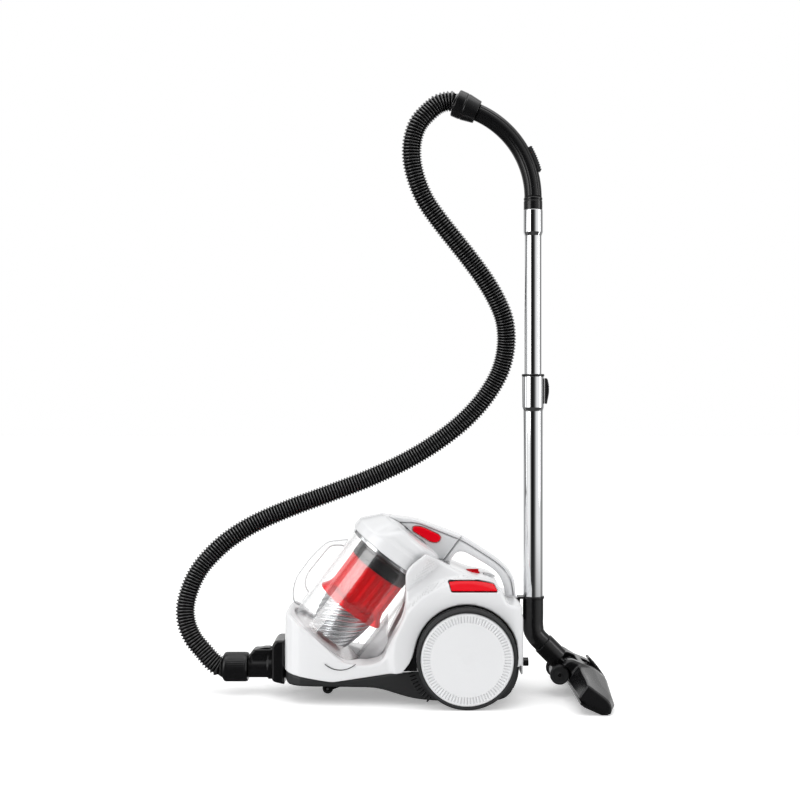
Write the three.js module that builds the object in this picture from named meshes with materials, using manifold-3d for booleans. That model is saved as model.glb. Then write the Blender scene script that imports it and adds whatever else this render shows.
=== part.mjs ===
// A bagless canister vacuum cleaner parked with its wand standing in the rear slot.
// Millimetres, +Z up, hose inlet towards -X, floor at Z = 0, centre plane at Y = 0.
import * as THREE from 'three';
import { mergeVertices } from 'three/addons/utils/BufferGeometryUtils.js';
import Module from 'manifold-3d';

const wasm = await Module();
wasm.setup();

// ---- driving dimensions ----
const GAP = 0.3;
const WHEEL_R = 84.5;
const ARCH_R = WHEEL_R + 4;
const AXLE_X = 90.4;
const WHEEL_IN = 91;
const BODY_HALF = 96;
const WAND_X = 214.1;
const INLET_Z = 46.3;
const BIN_TILT = THREE.MathUtils.degToRad(37);
const BIN_AT = [-98.2, 0, 171];
const CUP_R = 72;
const CORD_AT = [-52, 67];
const GRIP_R = 165.1;
const GRIP_AT = [49, 880];
const GRIP_END = THREE.MathUtils.degToRad(66.3);
const ROUND = 24;
const BIG = 36;
const SMALL = 12;

// ---- materials ----
const material = (color, roughness, metalness = 0) =>
  new THREE.MeshStandardMaterial({ color, roughness, metalness });
const white = () => material(0xf2f2f3, 0.25);
const lightGrey = () => material(0xc9cacc, 0.4);
const darkGrey = () => material(0x3a3b3d, 0.55);
const black = () => material(0x151516, 0.45);
const rubber = () => material(0x2c2d2f, 0.8);
const red = () => material(0xd8141c, 0.3);
const clearRed = () => material(0xd51826, 0.15);
const clear = () => material(0xe6ecee, 0.08);
const silver = () => material(0xb9bbbd, 0.35, 0.6);
const chrome = () => material(0xd5d7d9, 0.12, 1);
const steel = () => material(0x9a9da0, 0.35, 1);
const foam = () => material(0x57595b, 0.95);

// ---- solid helpers ----
function solid(geometry) {
  const bare = geometry.clone();
  bare.deleteAttribute('normal');
  bare.deleteAttribute('uv');
  const merged = mergeVertices(bare, 1e-4);
  const corners = merged.index.array;
  const kept = [];
  for (let i = 0; i < corners.length; i += 3) {
    const [a, b, c] = corners.slice(i, i + 3);
    if (a !== b && b !== c && c !== a) kept.push(a, b, c);
  }
  return new wasm.Manifold(new wasm.Mesh({
    numProp: 3,
    vertProperties: new Float32Array(merged.attributes.position.array),
    triVerts: new Uint32Array(kept),
  }));
}

function fuse(...solids) {
  return solids.reduce((sum, next) => sum.add(next));
}

function cut(base, ...tools) {
  return tools.reduce((left, tool) => left.subtract(tool), base);
}

// An outline of [a, b] or [a, b, radius] points; a radius rounds that corner.
function outline(points) {
  const shape = new THREE.Shape();
  points.forEach(([a, b, radius = 0], i) => {
    const corner = new THREE.Vector2(a, b);
    const before = points[(i + points.length - 1) % points.length];
    const after = points[(i + 1) % points.length];
    const towards = ([x, y]) => {
      const leg = new THREE.Vector2(x, y).sub(corner);
      return leg.setLength(Math.min(radius, leg.length() * 0.48)).add(corner);
    };
    const start = towards(before);
    const end = towards(after);
    if (i === 0) shape.moveTo(start.x, start.y);
    else shape.lineTo(start.x, start.y);
    if (radius > 0) shape.quadraticCurveTo(a, b, end.x, end.y);
  });
  shape.closePath();
  return shape;
}

function prism(points, depth) {
  return new THREE.ExtrudeGeometry(outline(points), { depth, bevelEnabled: false, curveSegments: 4 });
}

// Side view outline [x, z] run along Y from y0 to y1.
function sideways(points, y0, y1) {
  return solid(prism(points, y1 - y0).rotateX(Math.PI / 2).translate(0, y1, 0));
}

// Plan outline [x, y] run up from z0 to z1.
function upright(points, z0, z1) {
  return solid(prism(points, z1 - z0).translate(0, 0, z0));
}

// Front view outline [y, z] run along X from x0 to x1.
function lengthways(points, x0, x1) {
  const swap = new THREE.Matrix4().set(0, 0, 1, x0, 1, 0, 0, 0, 0, 1, 0, 0, 0, 0, 0, 1);
  return solid(prism(points, x1 - x0).applyMatrix4(swap));
}

function box(x0, x1, y0, y1, z0, z1) {
  const block = new THREE.BoxGeometry(x1 - x0, y1 - y0, z1 - z0);
  return solid(block.translate((x0 + x1) / 2, (y0 + y1) / 2, (z0 + z1) / 2));
}

// Profile of [radius, height] points turned about the line from `at` along `direction`.
function turned(profile, at, direction, segments = ROUND) {
  const points = profile.map(([r, h]) => new THREE.Vector2(r, h));
  const turn = new THREE.Quaternion().setFromUnitVectors(
    new THREE.Vector3(0, 1, 0), new THREE.Vector3(...direction).normalize());
  const shape = new THREE.LatheGeometry(points, segments).applyQuaternion(turn);
  return outward(solid(shape.translate(...at)), profile, at, direction, segments);
}

// A profile drawn the other way round gives an inside-out solid; draw it backwards then.
function outward(made, profile, at, direction, segments) {
  if (made.volume() > 0) return made;
  return turned([...profile].reverse(), at, direction, segments);
}

function rod(radius, from, to, segments = SMALL) {
  const run = new THREE.Vector3(...to).sub(new THREE.Vector3(...from));
  const length = run.length();
  return turned([[0, 0], [radius, 0], [radius, length], [0, length]], from, run.toArray(), segments);
}

function pipe(outer, inner, from, to, segments = ROUND) {
  const run = new THREE.Vector3(...to).sub(new THREE.Vector3(...from));
  const length = run.length();
  const wall = [[inner, 0], [outer, 0], [outer, length], [inner, length], [inner, 0]];
  return turned(wall, from, run.toArray(), segments);
}

// Bin parts are drawn upright about their own axis (+X rearward) and leaned back here.
const leaned = (made) => made
  .rotate([0, THREE.MathUtils.radToDeg(BIN_TILT), 0])
  .translate(BIN_AT);
const binTurned = (profile, segments) => leaned(turned(profile, [0, 0, 0], [0, 1, 0], segments)
  .rotate([90, 0, 0]));

const assembly = new THREE.Group();
assembly.name = 'canister_vacuum';

function add(name, made, look) {
  const { vertProperties, triVerts, numProp } = made.getMesh();
  const positions = new Float32Array((vertProperties.length / numProp) * 3);
  for (let i = 0; i < positions.length / 3; i += 1) {
    for (let k = 0; k < 3; k += 1) positions[3 * i + k] = vertProperties[numProp * i + k];
  }
  const geometry = new THREE.BufferGeometry();
  geometry.setAttribute('position', new THREE.BufferAttribute(positions, 3));
  geometry.setIndex(new THREE.BufferAttribute(new Uint32Array(triVerts), 1));
  geometry.computeVertexNormals();
  const mesh = new THREE.Mesh(geometry, look);
  mesh.name = name;
  assembly.add(mesh);
}

// ---- shared cutters ----
const planShape = upright([
  [-224, -80, 46], [-60, -BODY_HALF, 40], [165, -BODY_HALF, 30], [191, -80, 20],
  [191, 80, 20], [165, BODY_HALF, 30], [-60, BODY_HALF, 40], [-224, 80, 46],
], 0, 330);
const wheelWells = [-1, 1].map((side) =>
  rod(ARCH_R, [AXLE_X, side * 89.6, WHEEL_R], [AXLE_X, side * 130, WHEEL_R], BIG));
const axleHoles = rod(6.4, [AXLE_X, -95, WHEEL_R], [AXLE_X, 95, WHEEL_R]);
const cordHole = rod(6.4, [176, CORD_AT[0], CORD_AT[1]], [200, CORD_AT[0], CORD_AT[1]]);
const neckRun = rod(19.4, [WAND_X, 0, 60], [WAND_X, 0, 200], ROUND);
const binHollow = leaned(fuse(
  rod(CUP_R + 2.6, [0, 0, -97], [0, 0, 330], BIG),
  rod(85, [0, 0, 83.5], [0, 0, 330], BIG),
  box(0, 93, -38, 38, -97, 330),
));

// ---- canister: chassis ----
function chassis() {
  const pan = sideways([
    [-222, 30, 8], [-62, 30, 10], [0, 11, 12], [40, 7.5], [150, 7.5, 12], [168, 20, 8], [184, 50, 6],
    [184, 65.7], [110, 58.3], [-10, 57.7], [-138, 38.3], [-222, 51.3],
  ], -86, 86);
  const motorWell = box(-8, 172, -78, 78, 14, 80);
  const frontPocket = sideways([[-205, 36], [-140, 33.5], [-20, 33.5], [-20, 60], [-205, 60]], -70, 70);
  const swivelHole = rod(5.3, [-122, 0, 20], [-122, 0, 60]);
  const post = box(-137, -107, -12, 12, 33, 37.5);
  const frontMouth = rod(20, [-240, 0, INLET_Z], [-150, 0, INLET_Z], ROUND);
  const tray = fuse(cut(pan, motorWell, frontPocket), post).intersect(planShape);
  add('chassis_base', cut(tray, swivelHole, frontMouth, cordHole, ...wheelWells), darkGrey());
}

// ---- canister: white shell ----
function shell() {
  const side = sideways([
    [-224, 51.7], [-138, 38.7], [-10, 58.1], [110, 58.7], [184.3, 66.1], [184.3, 50], [190.5, 50],
    [190.5, 148], [187, 154], [187, 168, 6], [161, 172, 8], [150, 198, 10], [138, 209, 8], [98, 217.5],
    [66, 231], [22, 257, 6], [-4, 238, 6], [-13.5, 225, 6], [-10.6, 201, 10], [-13.5, 154, 14],
    [-40, 106, 14], [-52, 75, 12], [-78, 68, 10], [-114, 71, 12], [-136, 85.5, 8], [-200, 141.8, 10],
    [-214, 152, 6], [-224, 150, 8],
  ], -110, 110);
  const across = lengthways([
    [-BODY_HALF, 30], [BODY_HALF, 30], [BODY_HALF, 178, 40], [70, 232, 30], [52, 260], [-52, 260],
    [-70, 232, 30], [-BODY_HALF, 178, 40],
  ], -230, 210);
  const chamber = sideways([
    [-58, 30], [-52, 66], [-22, 112, 8], [20, 186, 8], [62, 221, 6], [96, 210], [134, 201, 6],
    [144, 190], [156, 165, 6], [184, 160, 4], [184, 30],
  ], -83, 83);
  const collar = leaned(rod(92, [0, 0, 40], [0, 0, 330], BIG));
  const handleSeat = box(50, 72, -16.4, 16.4, 233, 262);
  const ductRun = rod(20, [-240, 0, INLET_Z], [-150, 0, INLET_Z], ROUND);
  const bridgeRun = sideways([
    [-30, 150], [20, 205], [26, 236], [53.6, 236.6], [118, 322], [-30, 330],
  ], -23, 23);
  const parkSlot = box(183.5, 230, -13, 13, 130, 172);
  const archCorner = [-1, 1].map((side) => sideways(
    [[-24, 40], [-18, 60], [-4, 76], [4, 104], [14, 104], [14, 40]],
    Math.min(side * 88.8, side * 110), Math.max(side * 88.8, side * 110)));
  const dialSeat = rod(13.4, [106.1, 0, 209.8], [108.9, 0, 226], ROUND);
  const gaugeSeat = box(126, 147, -11, 11, 206.7, 216);
  const pedalSeat = (edge) => sideways([[58, 190], [150, 190], [140, 216], [54, 216]],
    Math.min(edge, edge * 0.62), Math.max(edge, edge * 0.62));
  const shaped = side.intersect(planShape).intersect(fuse(across, collar));
  add('body_shell', cut(shaped, chamber, binHollow, ductRun, bridgeRun, parkSlot, cordHole, dialSeat,
    gaugeSeat, pedalSeat(-112), pedalSeat(112), axleHoles, neckRun, handleSeat, ...archCorner,
    ...wheelWells), white());
}

// ---- canister: parts inside the shell ----
function insides() {
  add('motor', fuse(
    rod(43, [28, -22, 98], [118, -22, 98], 24),
    rod(30, [118, -22, 98], [140, -22, 98], 24),
    rod(12, [16, -22, 98], [28, -22, 98]),
  ), steel());
  const drum = turned([[8, 0], [64, 0], [64, 3], [40, 3], [40, 31], [64, 31], [64, 34], [8, 34], [8, 0]],
    [104, 30, 94], [0, 1, 0], 24);
  add('cord_reel', drum, black());
  add('exhaust_filter', box(158, 180, -60, 20, 76, 150), foam());
  add('cord_outlet', fuse(
    rod(6, [180, CORD_AT[0], CORD_AT[1]], [191.6, CORD_AT[0], CORD_AT[1]]),
    rod(7.5, [191.2, CORD_AT[0], CORD_AT[1]], [199.5, CORD_AT[0], CORD_AT[1]]),
  ), black());
}

// ---- canister: deck controls and carry handle ----
function deckParts() {
  for (const [name, side] of [['power_pedal', -1], ['rewind_pedal', 1]]) {
    const block = sideways([[60.5, 211], [134.8, 211.6], [144, 194.2], [65, 194.2]], -90, 90);
    const edge = lengthways([[74, 187], [92.5, 187, 4], [92, 195, 4], [78, 219, 4], [74, 219]], 30, 160);
    add(name, block.intersect(side < 0 ? edge.mirror([0, 1, 0]) : edge), red());
  }
  add('suction_dial', fuse(
    rod(12.2, [106.4, 0, 211.5], [107.42, 0, 217.4], ROUND),
    box(97, 117, -2.2, 2.2, 215, 220),
  ), red());
  const gauge = [[126.6, 207.3], [146.4, 207.3], [140, 209.8], [126.6, 213]];
  add('gauge_window', sideways(gauge, -10.4, 10.4), lightGrey());
  const handle = sideways([
    [82, 273.8], [95, 267, 10], [152.1, 231.3, 24], [173, 208, 16], [177.9, 167.5], [164.6, 167.5],
    [163, 190, 14], [149.4, 217.9, 16], [91, 252.7, 14], [76, 251, 8], [65.4, 232], [50.5, 232],
  ], -16, 16);
  add('carry_handle', cut(handle, box(40, 70, -30, 30, 200, 233.4), box(160, 200, -30, 30, 150, 172.9)),
    white());
  add('handle_cover', sideways([
    [86.8, 280], [98, 273.2, 10], [153.6, 237.4, 24], [178.4, 212.6, 16], [182.3, 172.4], [178.3, 172.4],
    [173.6, 208.4, 16], [152.4, 231.9, 24], [95.2, 267.6, 10], [82.6, 274.5],
  ], -17, 17), white());
}

// ---- canister: wheels ----
function driveWheels() {
  for (const [tag, side] of [['left', -1], ['right', 1]]) {
    const out = [0, side, 0];
    const inner = [AXLE_X, side * WHEEL_IN, WHEEL_R];
    const tread = [[78.8, 0], [81, 0], [84.5, 3.5], [84.5, 24.5], [81, 28], [78.8, 28], [78.8, 0]];
    add(`tyre_${tag}`, turned(tread, inner, out, BIG), rubber());
    const dish = [
      [6.4, 2], [12, 2], [12, 22], [72, 22], [74.5, 19], [74.5, 2], [78.4, 2], [78.4, 25.5], [74, 26.8],
      [20, 27.6], [17, 26.6], [0, 26], [0, 12], [6.4, 12], [6.4, 2],
    ];
    add(`wheel_hub_${tag}`, turned(dish, inner, out, BIG), white());
    add(`axle_${tag}`, rod(6, [AXLE_X, side * 83.4, WHEEL_R], [AXLE_X, side * 102.6, WHEEL_R]), steel());
    const ring = pipe(ARCH_R - 0.4, ARCH_R - 2.8, [AXLE_X, side * 90, WHEEL_R],
      [AXLE_X, side * 95, WHEEL_R], BIG);
    const above = sideways([[-12, 66.4], [190, 66.4], [190, 190], [-12, 190]], -100, 100);
    const y0 = Math.min(side * 90, side * 94.5);
    const horn = sideways([[-16.8, 60.5], [-3.2, 76], [4.6, 103], [12, 103], [12, 60.5]], y0, y0 + 4.5)
      .subtract(rod(ARCH_R - 1.5, [AXLE_X, -100, WHEEL_R], [AXLE_X, 100, WHEEL_R], BIG));
    add(`arch_liner_${tag}`, fuse(ring.intersect(above), horn), black());
  }
}

function caster() {
  const arm = (y0) => sideways([[-138, 26], [-100, 26], [-112, 20], [-140, 9, 3], [-150, 4.5, 5],
    [-157, 8, 4], [-157, 16, 4]], y0, y0 + 3.6);
  add('caster_fork', fuse(
    arm(-13.6), arm(10),
    rod(22, [-122, 0, 25], [-122, 0, 29.5], 24),
    rod(5, [-122, 0, 29], [-122, 0, 37]),
  ).subtract(rod(2.4, [-150.3, -20, 9.5], [-150.3, 20, 9.5])), black());
  const roller = [[2.4, -9.6], [7.5, -9.6], [9.5, -7.6], [9.5, 7.6], [7.5, 9.6], [2.4, 9.6], [2.4, -9.6]];
  add('caster_wheel', turned(roller, [-150.3, 0, 9.5], [0, 1, 0], 24), rubber());
  add('caster_axle', rod(2.05, [-150.3, -13.4, 9.5], [-150.3, 13.4, 9.5], 12), steel());
}

// ---- canister: hose inlet ----
function inlet() {
  const block = sideways([[-247, 27, 6], [-224.5, 22, 2], [-224.5, 99, 2], [-240, 99, 4],
    [-247, 90, 4]], -34, 34);
  const throat = rod(19.6, [-225, 0, INLET_Z], [-160, 0, INLET_Z], ROUND);
  const bore = rod(18, [-260, 0, INLET_Z], [-150, 0, INLET_Z], ROUND);
  add('inlet_port', fuse(block, throat).subtract(bore), black());
  add('hose_connector', turned([
    [14.5, 0], [16.6, 0], [16.6, 11.7], [22, 11.7], [24.5, 13], [24.5, 38], [27, 40], [27, 55.4],
    [17.6, 55.4], [17.6, 84], [14.5, 84], [14.5, 0],
  ], [-303, 0, INLET_Z], [1, 0, 0]), black());
  add('connector_latch', sideways([[-283, 74.1], [-252, 76.6], [-252, 82, 2], [-262, 82, 2],
    [-283, 78, 2]], -9, 9), black());
  add('hose_cuff', turned([[17, 0], [22, 0], [25.9, 4], [25.9, 42], [24, 44.4], [17, 44.4], [17, 0]],
    [-336, 0, INLET_Z], [1, 0, 0]), black());
}

// ---- dust bin ----
function bin() {
  const cup = turned([[69.5, -90], [CUP_R, -90], [CUP_R, 86], [75.6, 87], [75.6, 90], [69.5, 90],
    [69.5, -90]], [0, 0, 0], [0, 1, 0], BIG);
  add('bin_cup', leaned(cup.rotate([90, 0, 0])), clear());
  add('bin_door', binTurned([[0, -93.4], [68, -93.4], [CUP_R, -92], [CUP_R, -90.4], [0, -90.4]], BIG),
    clear());
  const duct = solid(prism([[56, -90], [90.5, -90], [90.5, -30, 8], [56, 16]], 64).rotateX(Math.PI / 2)
    .translate(0, 32, 0));
  const inside = solid(prism([[50, -94], [88, -94], [88, -32, 8], [50, 16]], 59).rotateX(Math.PI / 2)
    .translate(0, 29.5, 0));
  const keepOut = rod(CUP_R + GAP, [0, 0, -120], [0, 0, 90], BIG);
  add('inlet_duct', leaned(cut(duct, inside, keepOut)), clear());
  add('door_latch', leaned(box(74, 86, -14, 14, -89, -66)), darkGrey());
  add('door_hinge', leaned(rod(2.2, [79, -26, -91.8], [79, 26, -91.8], 12)), steel());
  const loop = sideways([
    [-111, 273, 8], [-151.8, 269, 16], [-179.5, 243, 14], [-207.2, 206, 16], [-214, 178, 12],
    [-211, 160, 4], [-190, 150], [-182, 176], [-189, 186, 6], [-190.3, 197, 8], [-185.7, 212.2, 10],
    [-145.5, 261.5, 12], [-124, 261.5, 6], [-118, 254], [-100, 262],
  ], -9, 9);
  add('bin_handle', loop.subtract(leaned(rod(CUP_R + GAP, [0, 0, -130], [0, 0, 85.6], BIG)))
    .subtract(leaned(rod(76.2, [0, 0, 85.6], [0, 0, 160], BIG))), clear());
  add('rim_ring', binTurned([[70, 90.3], [77, 90.3], [77, 96.6], [70, 96.6], [70, 90.3]], BIG), chrome());
}

function binInsides() {
  add('shroud_band', binTurned([[44, 60.3], [55, 60.3], [55, 88], [68.9, 89.4], [68.9, 96.6],
    [44, 96.6], [44, 60.3]], ROUND), black());
  add('cyclone_shroud', binTurned([
    [51.5, 0], [54.5, -10], [61.5, -20], [64, -21], [64.5, -18], [57, -8], [54, 2], [54, 60],
    [51.5, 60], [51.5, 0],
  ]), clearRed());
  add('cyclone_core', binTurned([[30, -12], [33, -12], [40, 60], [37, 60], [30, -12]], 24), clearRed());
  add('cyclone_cone', binTurned([[46, -12], [49, -12], [49.6, -22], [47, -50], [37, -84], [34, -84],
    [44, -50], [46.5, -22], [46, -12]]), silver());
  add('lid_filter', binTurned([[0, 97], [64, 97], [64, 112], [0, 112]], 24), foam());
}

function lid() {
  const dome = [
    [0, 152], [32, 151.5], [50, 147], [66, 137], [76, 124], [81, 112], [81, 97], [77.5, 97],
    [77.5, 111], [73, 122], [63.5, 134], [48, 143.5], [30, 148], [0, 148.5],
  ];
  add('bin_lid', binTurned(dome, BIG), white());
  const overDome = binTurned([[0, 90], [81.3, 90], [81.3, 112], [76.3, 124.2], [66.2, 137.3],
    [50.1, 147.3], [32, 151.9], [0, 152.4]], BIG);
  const block = sideways([[-52, 305], [8, 303.5, 10], [81.4, 274.6], [53.4, 237.4], [22, 240],
    [-20, 240]], -20, 20);
  const seat = sideways([[-2, 289, 3], [-2, 299, 3], [17, 299, 5], [49, 284, 4], [51, 277, 3],
    [45, 268, 3], [31, 268, 5]], -30, -15.4);
  add('lid_bridge', cut(block, overDome, seat), lightGrey());
  const cover = sideways([[-52, 316], [-36, 315.2], [8.3, 309.2, 10], [85.8, 280.3], [82, 275.3],
    [8, 304.2, 10], [-52, 305.7]], -21, 21);
  add('bridge_cover', cover.subtract(overDome), white());
  add('release_button', sideways([
    [-0.6, 290.2, 3], [0.4, 297.6, 3], [15, 297.6, 5], [47.2, 282.6, 4], [49.4, 276.6, 3],
    [44.4, 269.6, 3], [32.6, 269.6, 5],
  ], -23.5, -19.2), red());
}

// ---- hose ----
function hose() {
  const route = [
    [-336.4, 0, 46.3], [-342, 0, 46.3], [-356, 1, 56], [-372, 3, 73], [-391, 5, 96], [-403, 9, 122],
    [-406, 14, 150], [-399, 20, 182], [-384, 28, 214], [-360, 36, 243], [-330, 44, 269],
    [-287, 54, 295], [-224, 66, 322],
    [-152, 78, 348], [-78, 88, 376], [-4, 94, 411], [52, 96, 446], [99, 95, 484], [136, 90, 526],
    [163, 82, 574], [173, 72, 622], [169, 62, 666], [154, 54, 702], [132, 46, 738], [104, 38, 775],
    [76, 30, 809], [48, 22, 843], [23, 15, 878], [7, 9, 914], [-1, 5, 949], [0, 2, 982], [10, 0, 1011],
    [28, 0, 1032], [48, 0, 1047], [70.3, 0, 1051], [75.4, 0, 1048.7],
  ].map((point) => new THREE.Vector3(...point));
  const ring = new THREE.Shape().absarc(0, 0, 17.6, 0, 2 * Math.PI);
  ring.holes.push(new THREE.Path().absarc(0, 0, 15.6, 0, 2 * Math.PI));
  const path = new THREE.CatmullRomCurve3(route, false, 'centripetal');
  add('hose', solid(new THREE.ExtrudeGeometry(ring,
    { steps: 46, extrudePath: path, curveSegments: 4 })), black());
}

// ---- wand ----
const gripPoint = (angle, radius = GRIP_R) =>
  [GRIP_AT[0] + radius * Math.cos(angle), 0, GRIP_AT[1] + radius * Math.sin(angle)];
const gripSector = (inner, outer, from, to, y0, y1) => {
  const points = [];
  const count = 4;
  for (let i = 0; i <= count; i += 1) {
    const [x, , z] = gripPoint(from + (to - from) * i / count, outer);
    points.push([x, z]);
  }
  for (let i = count; i >= 0; i -= 1) {
    const [x, , z] = gripPoint(from + (to - from) * i / count, inner);
    points.push([x, z]);
  }
  return sideways(points, y0, y1);
};

function handle() {
  const [endX, , endZ] = gripPoint(GRIP_END);
  const along = [Math.sin(GRIP_END), 0, -Math.cos(GRIP_END)];
  const cuffStart = [endX - 43.2 * along[0], 0, endZ - 43.2 * along[2]];
  add('handle_cuff', turned([[15.8, 0], [24.2, 0], [24.2, 18], [20.2, 42.8], [15.8, 42.8], [15.8, 0]],
    cuffStart, along), black());
  class GripCurve extends THREE.Curve {
    getPoint(t, target = new THREE.Vector3()) {
      return target.set(...gripPoint(GRIP_END * (1 - t)));
    }
  }
  const ring = new THREE.Shape().absarc(0, 0, 15.5, 0, 2 * Math.PI);
  ring.holes.push(new THREE.Path().absarc(0, 0, 12.5, 0, 2 * Math.PI));
  const grip = solid(new THREE.ExtrudeGeometry(ring,
    { steps: 10, extrudePath: new GripCurve(), curveSegments: 7 }));
  const toAngle = THREE.MathUtils.degToRad;
  const slot = gripSector(GRIP_R + 11, GRIP_R + 25, toAngle(9), toAngle(35), -8.6, 8.6);
  add('handle_grip', grip.subtract(slot), black());
  add('bleed_slider', gripSector(GRIP_R + 12.6, GRIP_R + 21, toAngle(14), toAngle(30), -8.1, 8.1),
    darkGrey());
  add('grip_collar', pipe(16.6, 12.5, [WAND_X, 0, 857.3], [WAND_X, 0, 879.7]), black());
}

function wand() {
  add('upper_tube', turned([
    [14.2, 430], [15.1, 430], [15.1, 810], [17.5, 817], [17.5, 857], [16.6, 857], [16.6, 818],
    [14.2, 811], [14.2, 430],
  ], [WAND_X, 0, 0], [0, 0, 1]), chrome());
  add('lower_tube', turned([
    [16.6, 172.4], [17.5, 172.4], [17.5, 501], [19.4, 507], [19.4, 561.6], [18.4, 561.6], [18.4, 508],
    [16.6, 502], [16.6, 172.4],
  ], [WAND_X, 0, 0], [0, 0, 1]), chrome());
  add('tube_ring', turned([
    [15.5, 545], [18, 545], [18, 561.9], [20, 561.9], [20, 566], [15.5, 566], [15.5, 545],
  ], [WAND_X, 0, 0], [0, 0, 1]), black());
  add('lock_button', sideways([
    [234.4, 514], [238, 512, 2], [241.5, 530, 3], [243.2, 541, 3], [239, 559, 3], [234.4, 559],
  ], -7.5, 7.5), black());
}

// ---- floor nozzle ----
const NECK_TOP = 172;
const SWIVEL_FROM = [231.9, 0, 88.2];
const SWIVEL_TO = [258.4, 0, 61.7];
const PIVOT = [257.3, 0, 38.2];

function nozzle() {
  const neckPath = new THREE.CatmullRomCurve3([
    [WAND_X, 0, 169], [WAND_X, 0, 140], [WAND_X, 0, 120], [216.2, 0, 107.6], [222.4, 0, 97.7],
    [231.6, 0, 88.5],
  ].map((p) => new THREE.Vector3(...p)), false, 'centripetal');
  const ring = new THREE.Shape().absarc(0, 0, 18.4, 0, 2 * Math.PI);
  ring.holes.push(new THREE.Path().absarc(0, 0, 15.6, 0, 2 * Math.PI));
  const bend = solid(new THREE.ExtrudeGeometry(ring, { steps: 8, extrudePath: neckPath, curveSegments: 6 }));
  const flange = pipe(20, 15.6, [WAND_X, 0, 168], [WAND_X, 0, NECK_TOP]);
  const hook = fuse(box(186, 200, -11, 11, 168, 172), box(186, 190, -11, 11, 134, 169)).subtract(
    rod(15.6, [WAND_X, 0, 100], [WAND_X, 0, 190], ROUND));
  add('nozzle_neck', fuse(bend, flange, hook), black());

  const collar = pipe(19.5, 15.8, SWIVEL_FROM, SWIVEL_TO);
  const drum = rod(13.5, [PIVOT[0], -19.7, PIVOT[2]], [PIVOT[0], 19.7, PIVOT[2]], 24);
  const web = sideways([[247, 46], [268, 44], [272, 56], [262, 64], [249, 60]], -14, 14);
  add('swivel_yoke', fuse(drum, web.subtract(rod(15.8, SWIVEL_FROM, [259, 0, 61.1], ROUND)), collar)
    .add(rod(3, [PIVOT[0], -31.5, PIVOT[2]], [PIVOT[0], 31.5, PIVOT[2]], 12)), black());
  for (const [tag, side] of [['left', -1], ['right', 1]]) {
    const face = side * 24.4;
    add(`nozzle_wheel_${tag}`, turned([[3.3, 0], [15, 0], [17, 2], [17, 6], [15.5, 8], [3.3, 8], [3.3, 0]],
      [PIVOT[0], face, PIVOT[2]], [0, side, 0], 24), black());
  }

  const middle = [[270, 31], [281.4, 19.4], [321, 1.6], [337, 1.6], [343, 12], [336, 36], [312, 54],
    [289, 57]];
  const wing = [[271, 30], [281.4, 19.4], [321, 1.6], [333, 1.6], [337, 8], [331, 26], [308, 43], [289, 54]];
  const tip = [[272, 29.4], [281.4, 19.4], [321, 1.6], [324, 1.6], [326, 16], [319, 28.5], [303, 40],
    [288, 52]];
  const bar = wasm.Manifold.hull([
    sideways(middle, -50, 50),
    sideways(wing, -115, 115),
    sideways(tip, -150, 150),
  ]);
  const hood = sideways([
    [258, 56, 3], [266, 64, 4], [277, 68, 5], [306, 56, 8], [330, 38, 8], [330, 10], [300, 12],
    [281, 20], [274, 24],
  ], -42, 42);
  const drumRoom = fuse(
    rod(19.6, [PIVOT[0], -43, PIVOT[2]], [PIVOT[0], 43, PIVOT[2]], 24),
    sideways([[236, 30], [257, 22], [280, 36], [292, 64], [284, 90], [240, 84]], -24, 24),
  );
  const soleCut = sideways([[262, 22], [281, 13.5], [325, -6.2], [325, -30], [240, -30]], -160, 160);
  const brushRoom = sideways([[284, 10], [290, 26], [303, 20.4], [297, 4]], -138, 138);
  const throat = sideways([[303, 30], [316, 24], [308, 0], [295, 4]], -70, 70);
  const pedalSlot = sideways([[299, 38], [336.4, 21], [356, 60], [301, 90]], -14, 14);
  const ears = [-1, 1].map((side) => fuse(
    sideways([[246, 38, 6], [257, 27, 6], [268, 30], [284, 30], [284, 58], [262, 50, 4]],
      Math.min(side * 20.3, side * 24), Math.max(side * 20.3, side * 24)),
  ));
  const head = cut(fuse(bar, hood), drumRoom, soleCut, brushRoom, throat, pedalSlot);
  const pivotHole = rod(3.3, [PIVOT[0], -40, PIVOT[2]], [PIVOT[0], 40, PIVOT[2]]);
  add('nozzle_head', fuse(head, ...ears).subtract(pivotHole), black());

  const sole = sideways([[274.6, 18.2], [281.6, 13], [320, -4], [321.4, 1.2], [282, 19], [276, 21.4]],
    -146, 146);
  add('sole_plate', sole.subtract(brushRoom).subtract(throat)
    .intersect(box(200, 400, -160, 160, 0.4, 80)), black());
  const strip = [[286.6, 13.2], [291.6, 25], [299.8, 21.4], [295, 9.6]];
  add('brush_strip', sideways(strip, -136, 136), darkGrey());
  add('nozzle_pedal', sideways([[308.5, 63], [312.5, 65.5, 2], [340.5, 30], [335.5, 26]], -13, 13), black());
}

chassis();
shell();
insides();
deckParts();
driveWheels();
caster();
inlet();
bin();
binInsides();
lid();
hose();
handle();
wand();
nozzle();

export default assembly;
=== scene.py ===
"""Visual model of a bagless canister vacuum cleaner, built round its CAD frame, with +Z up.

Outlines and places are in millimetres, and MM turns them into metres.
"""
import math

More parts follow.
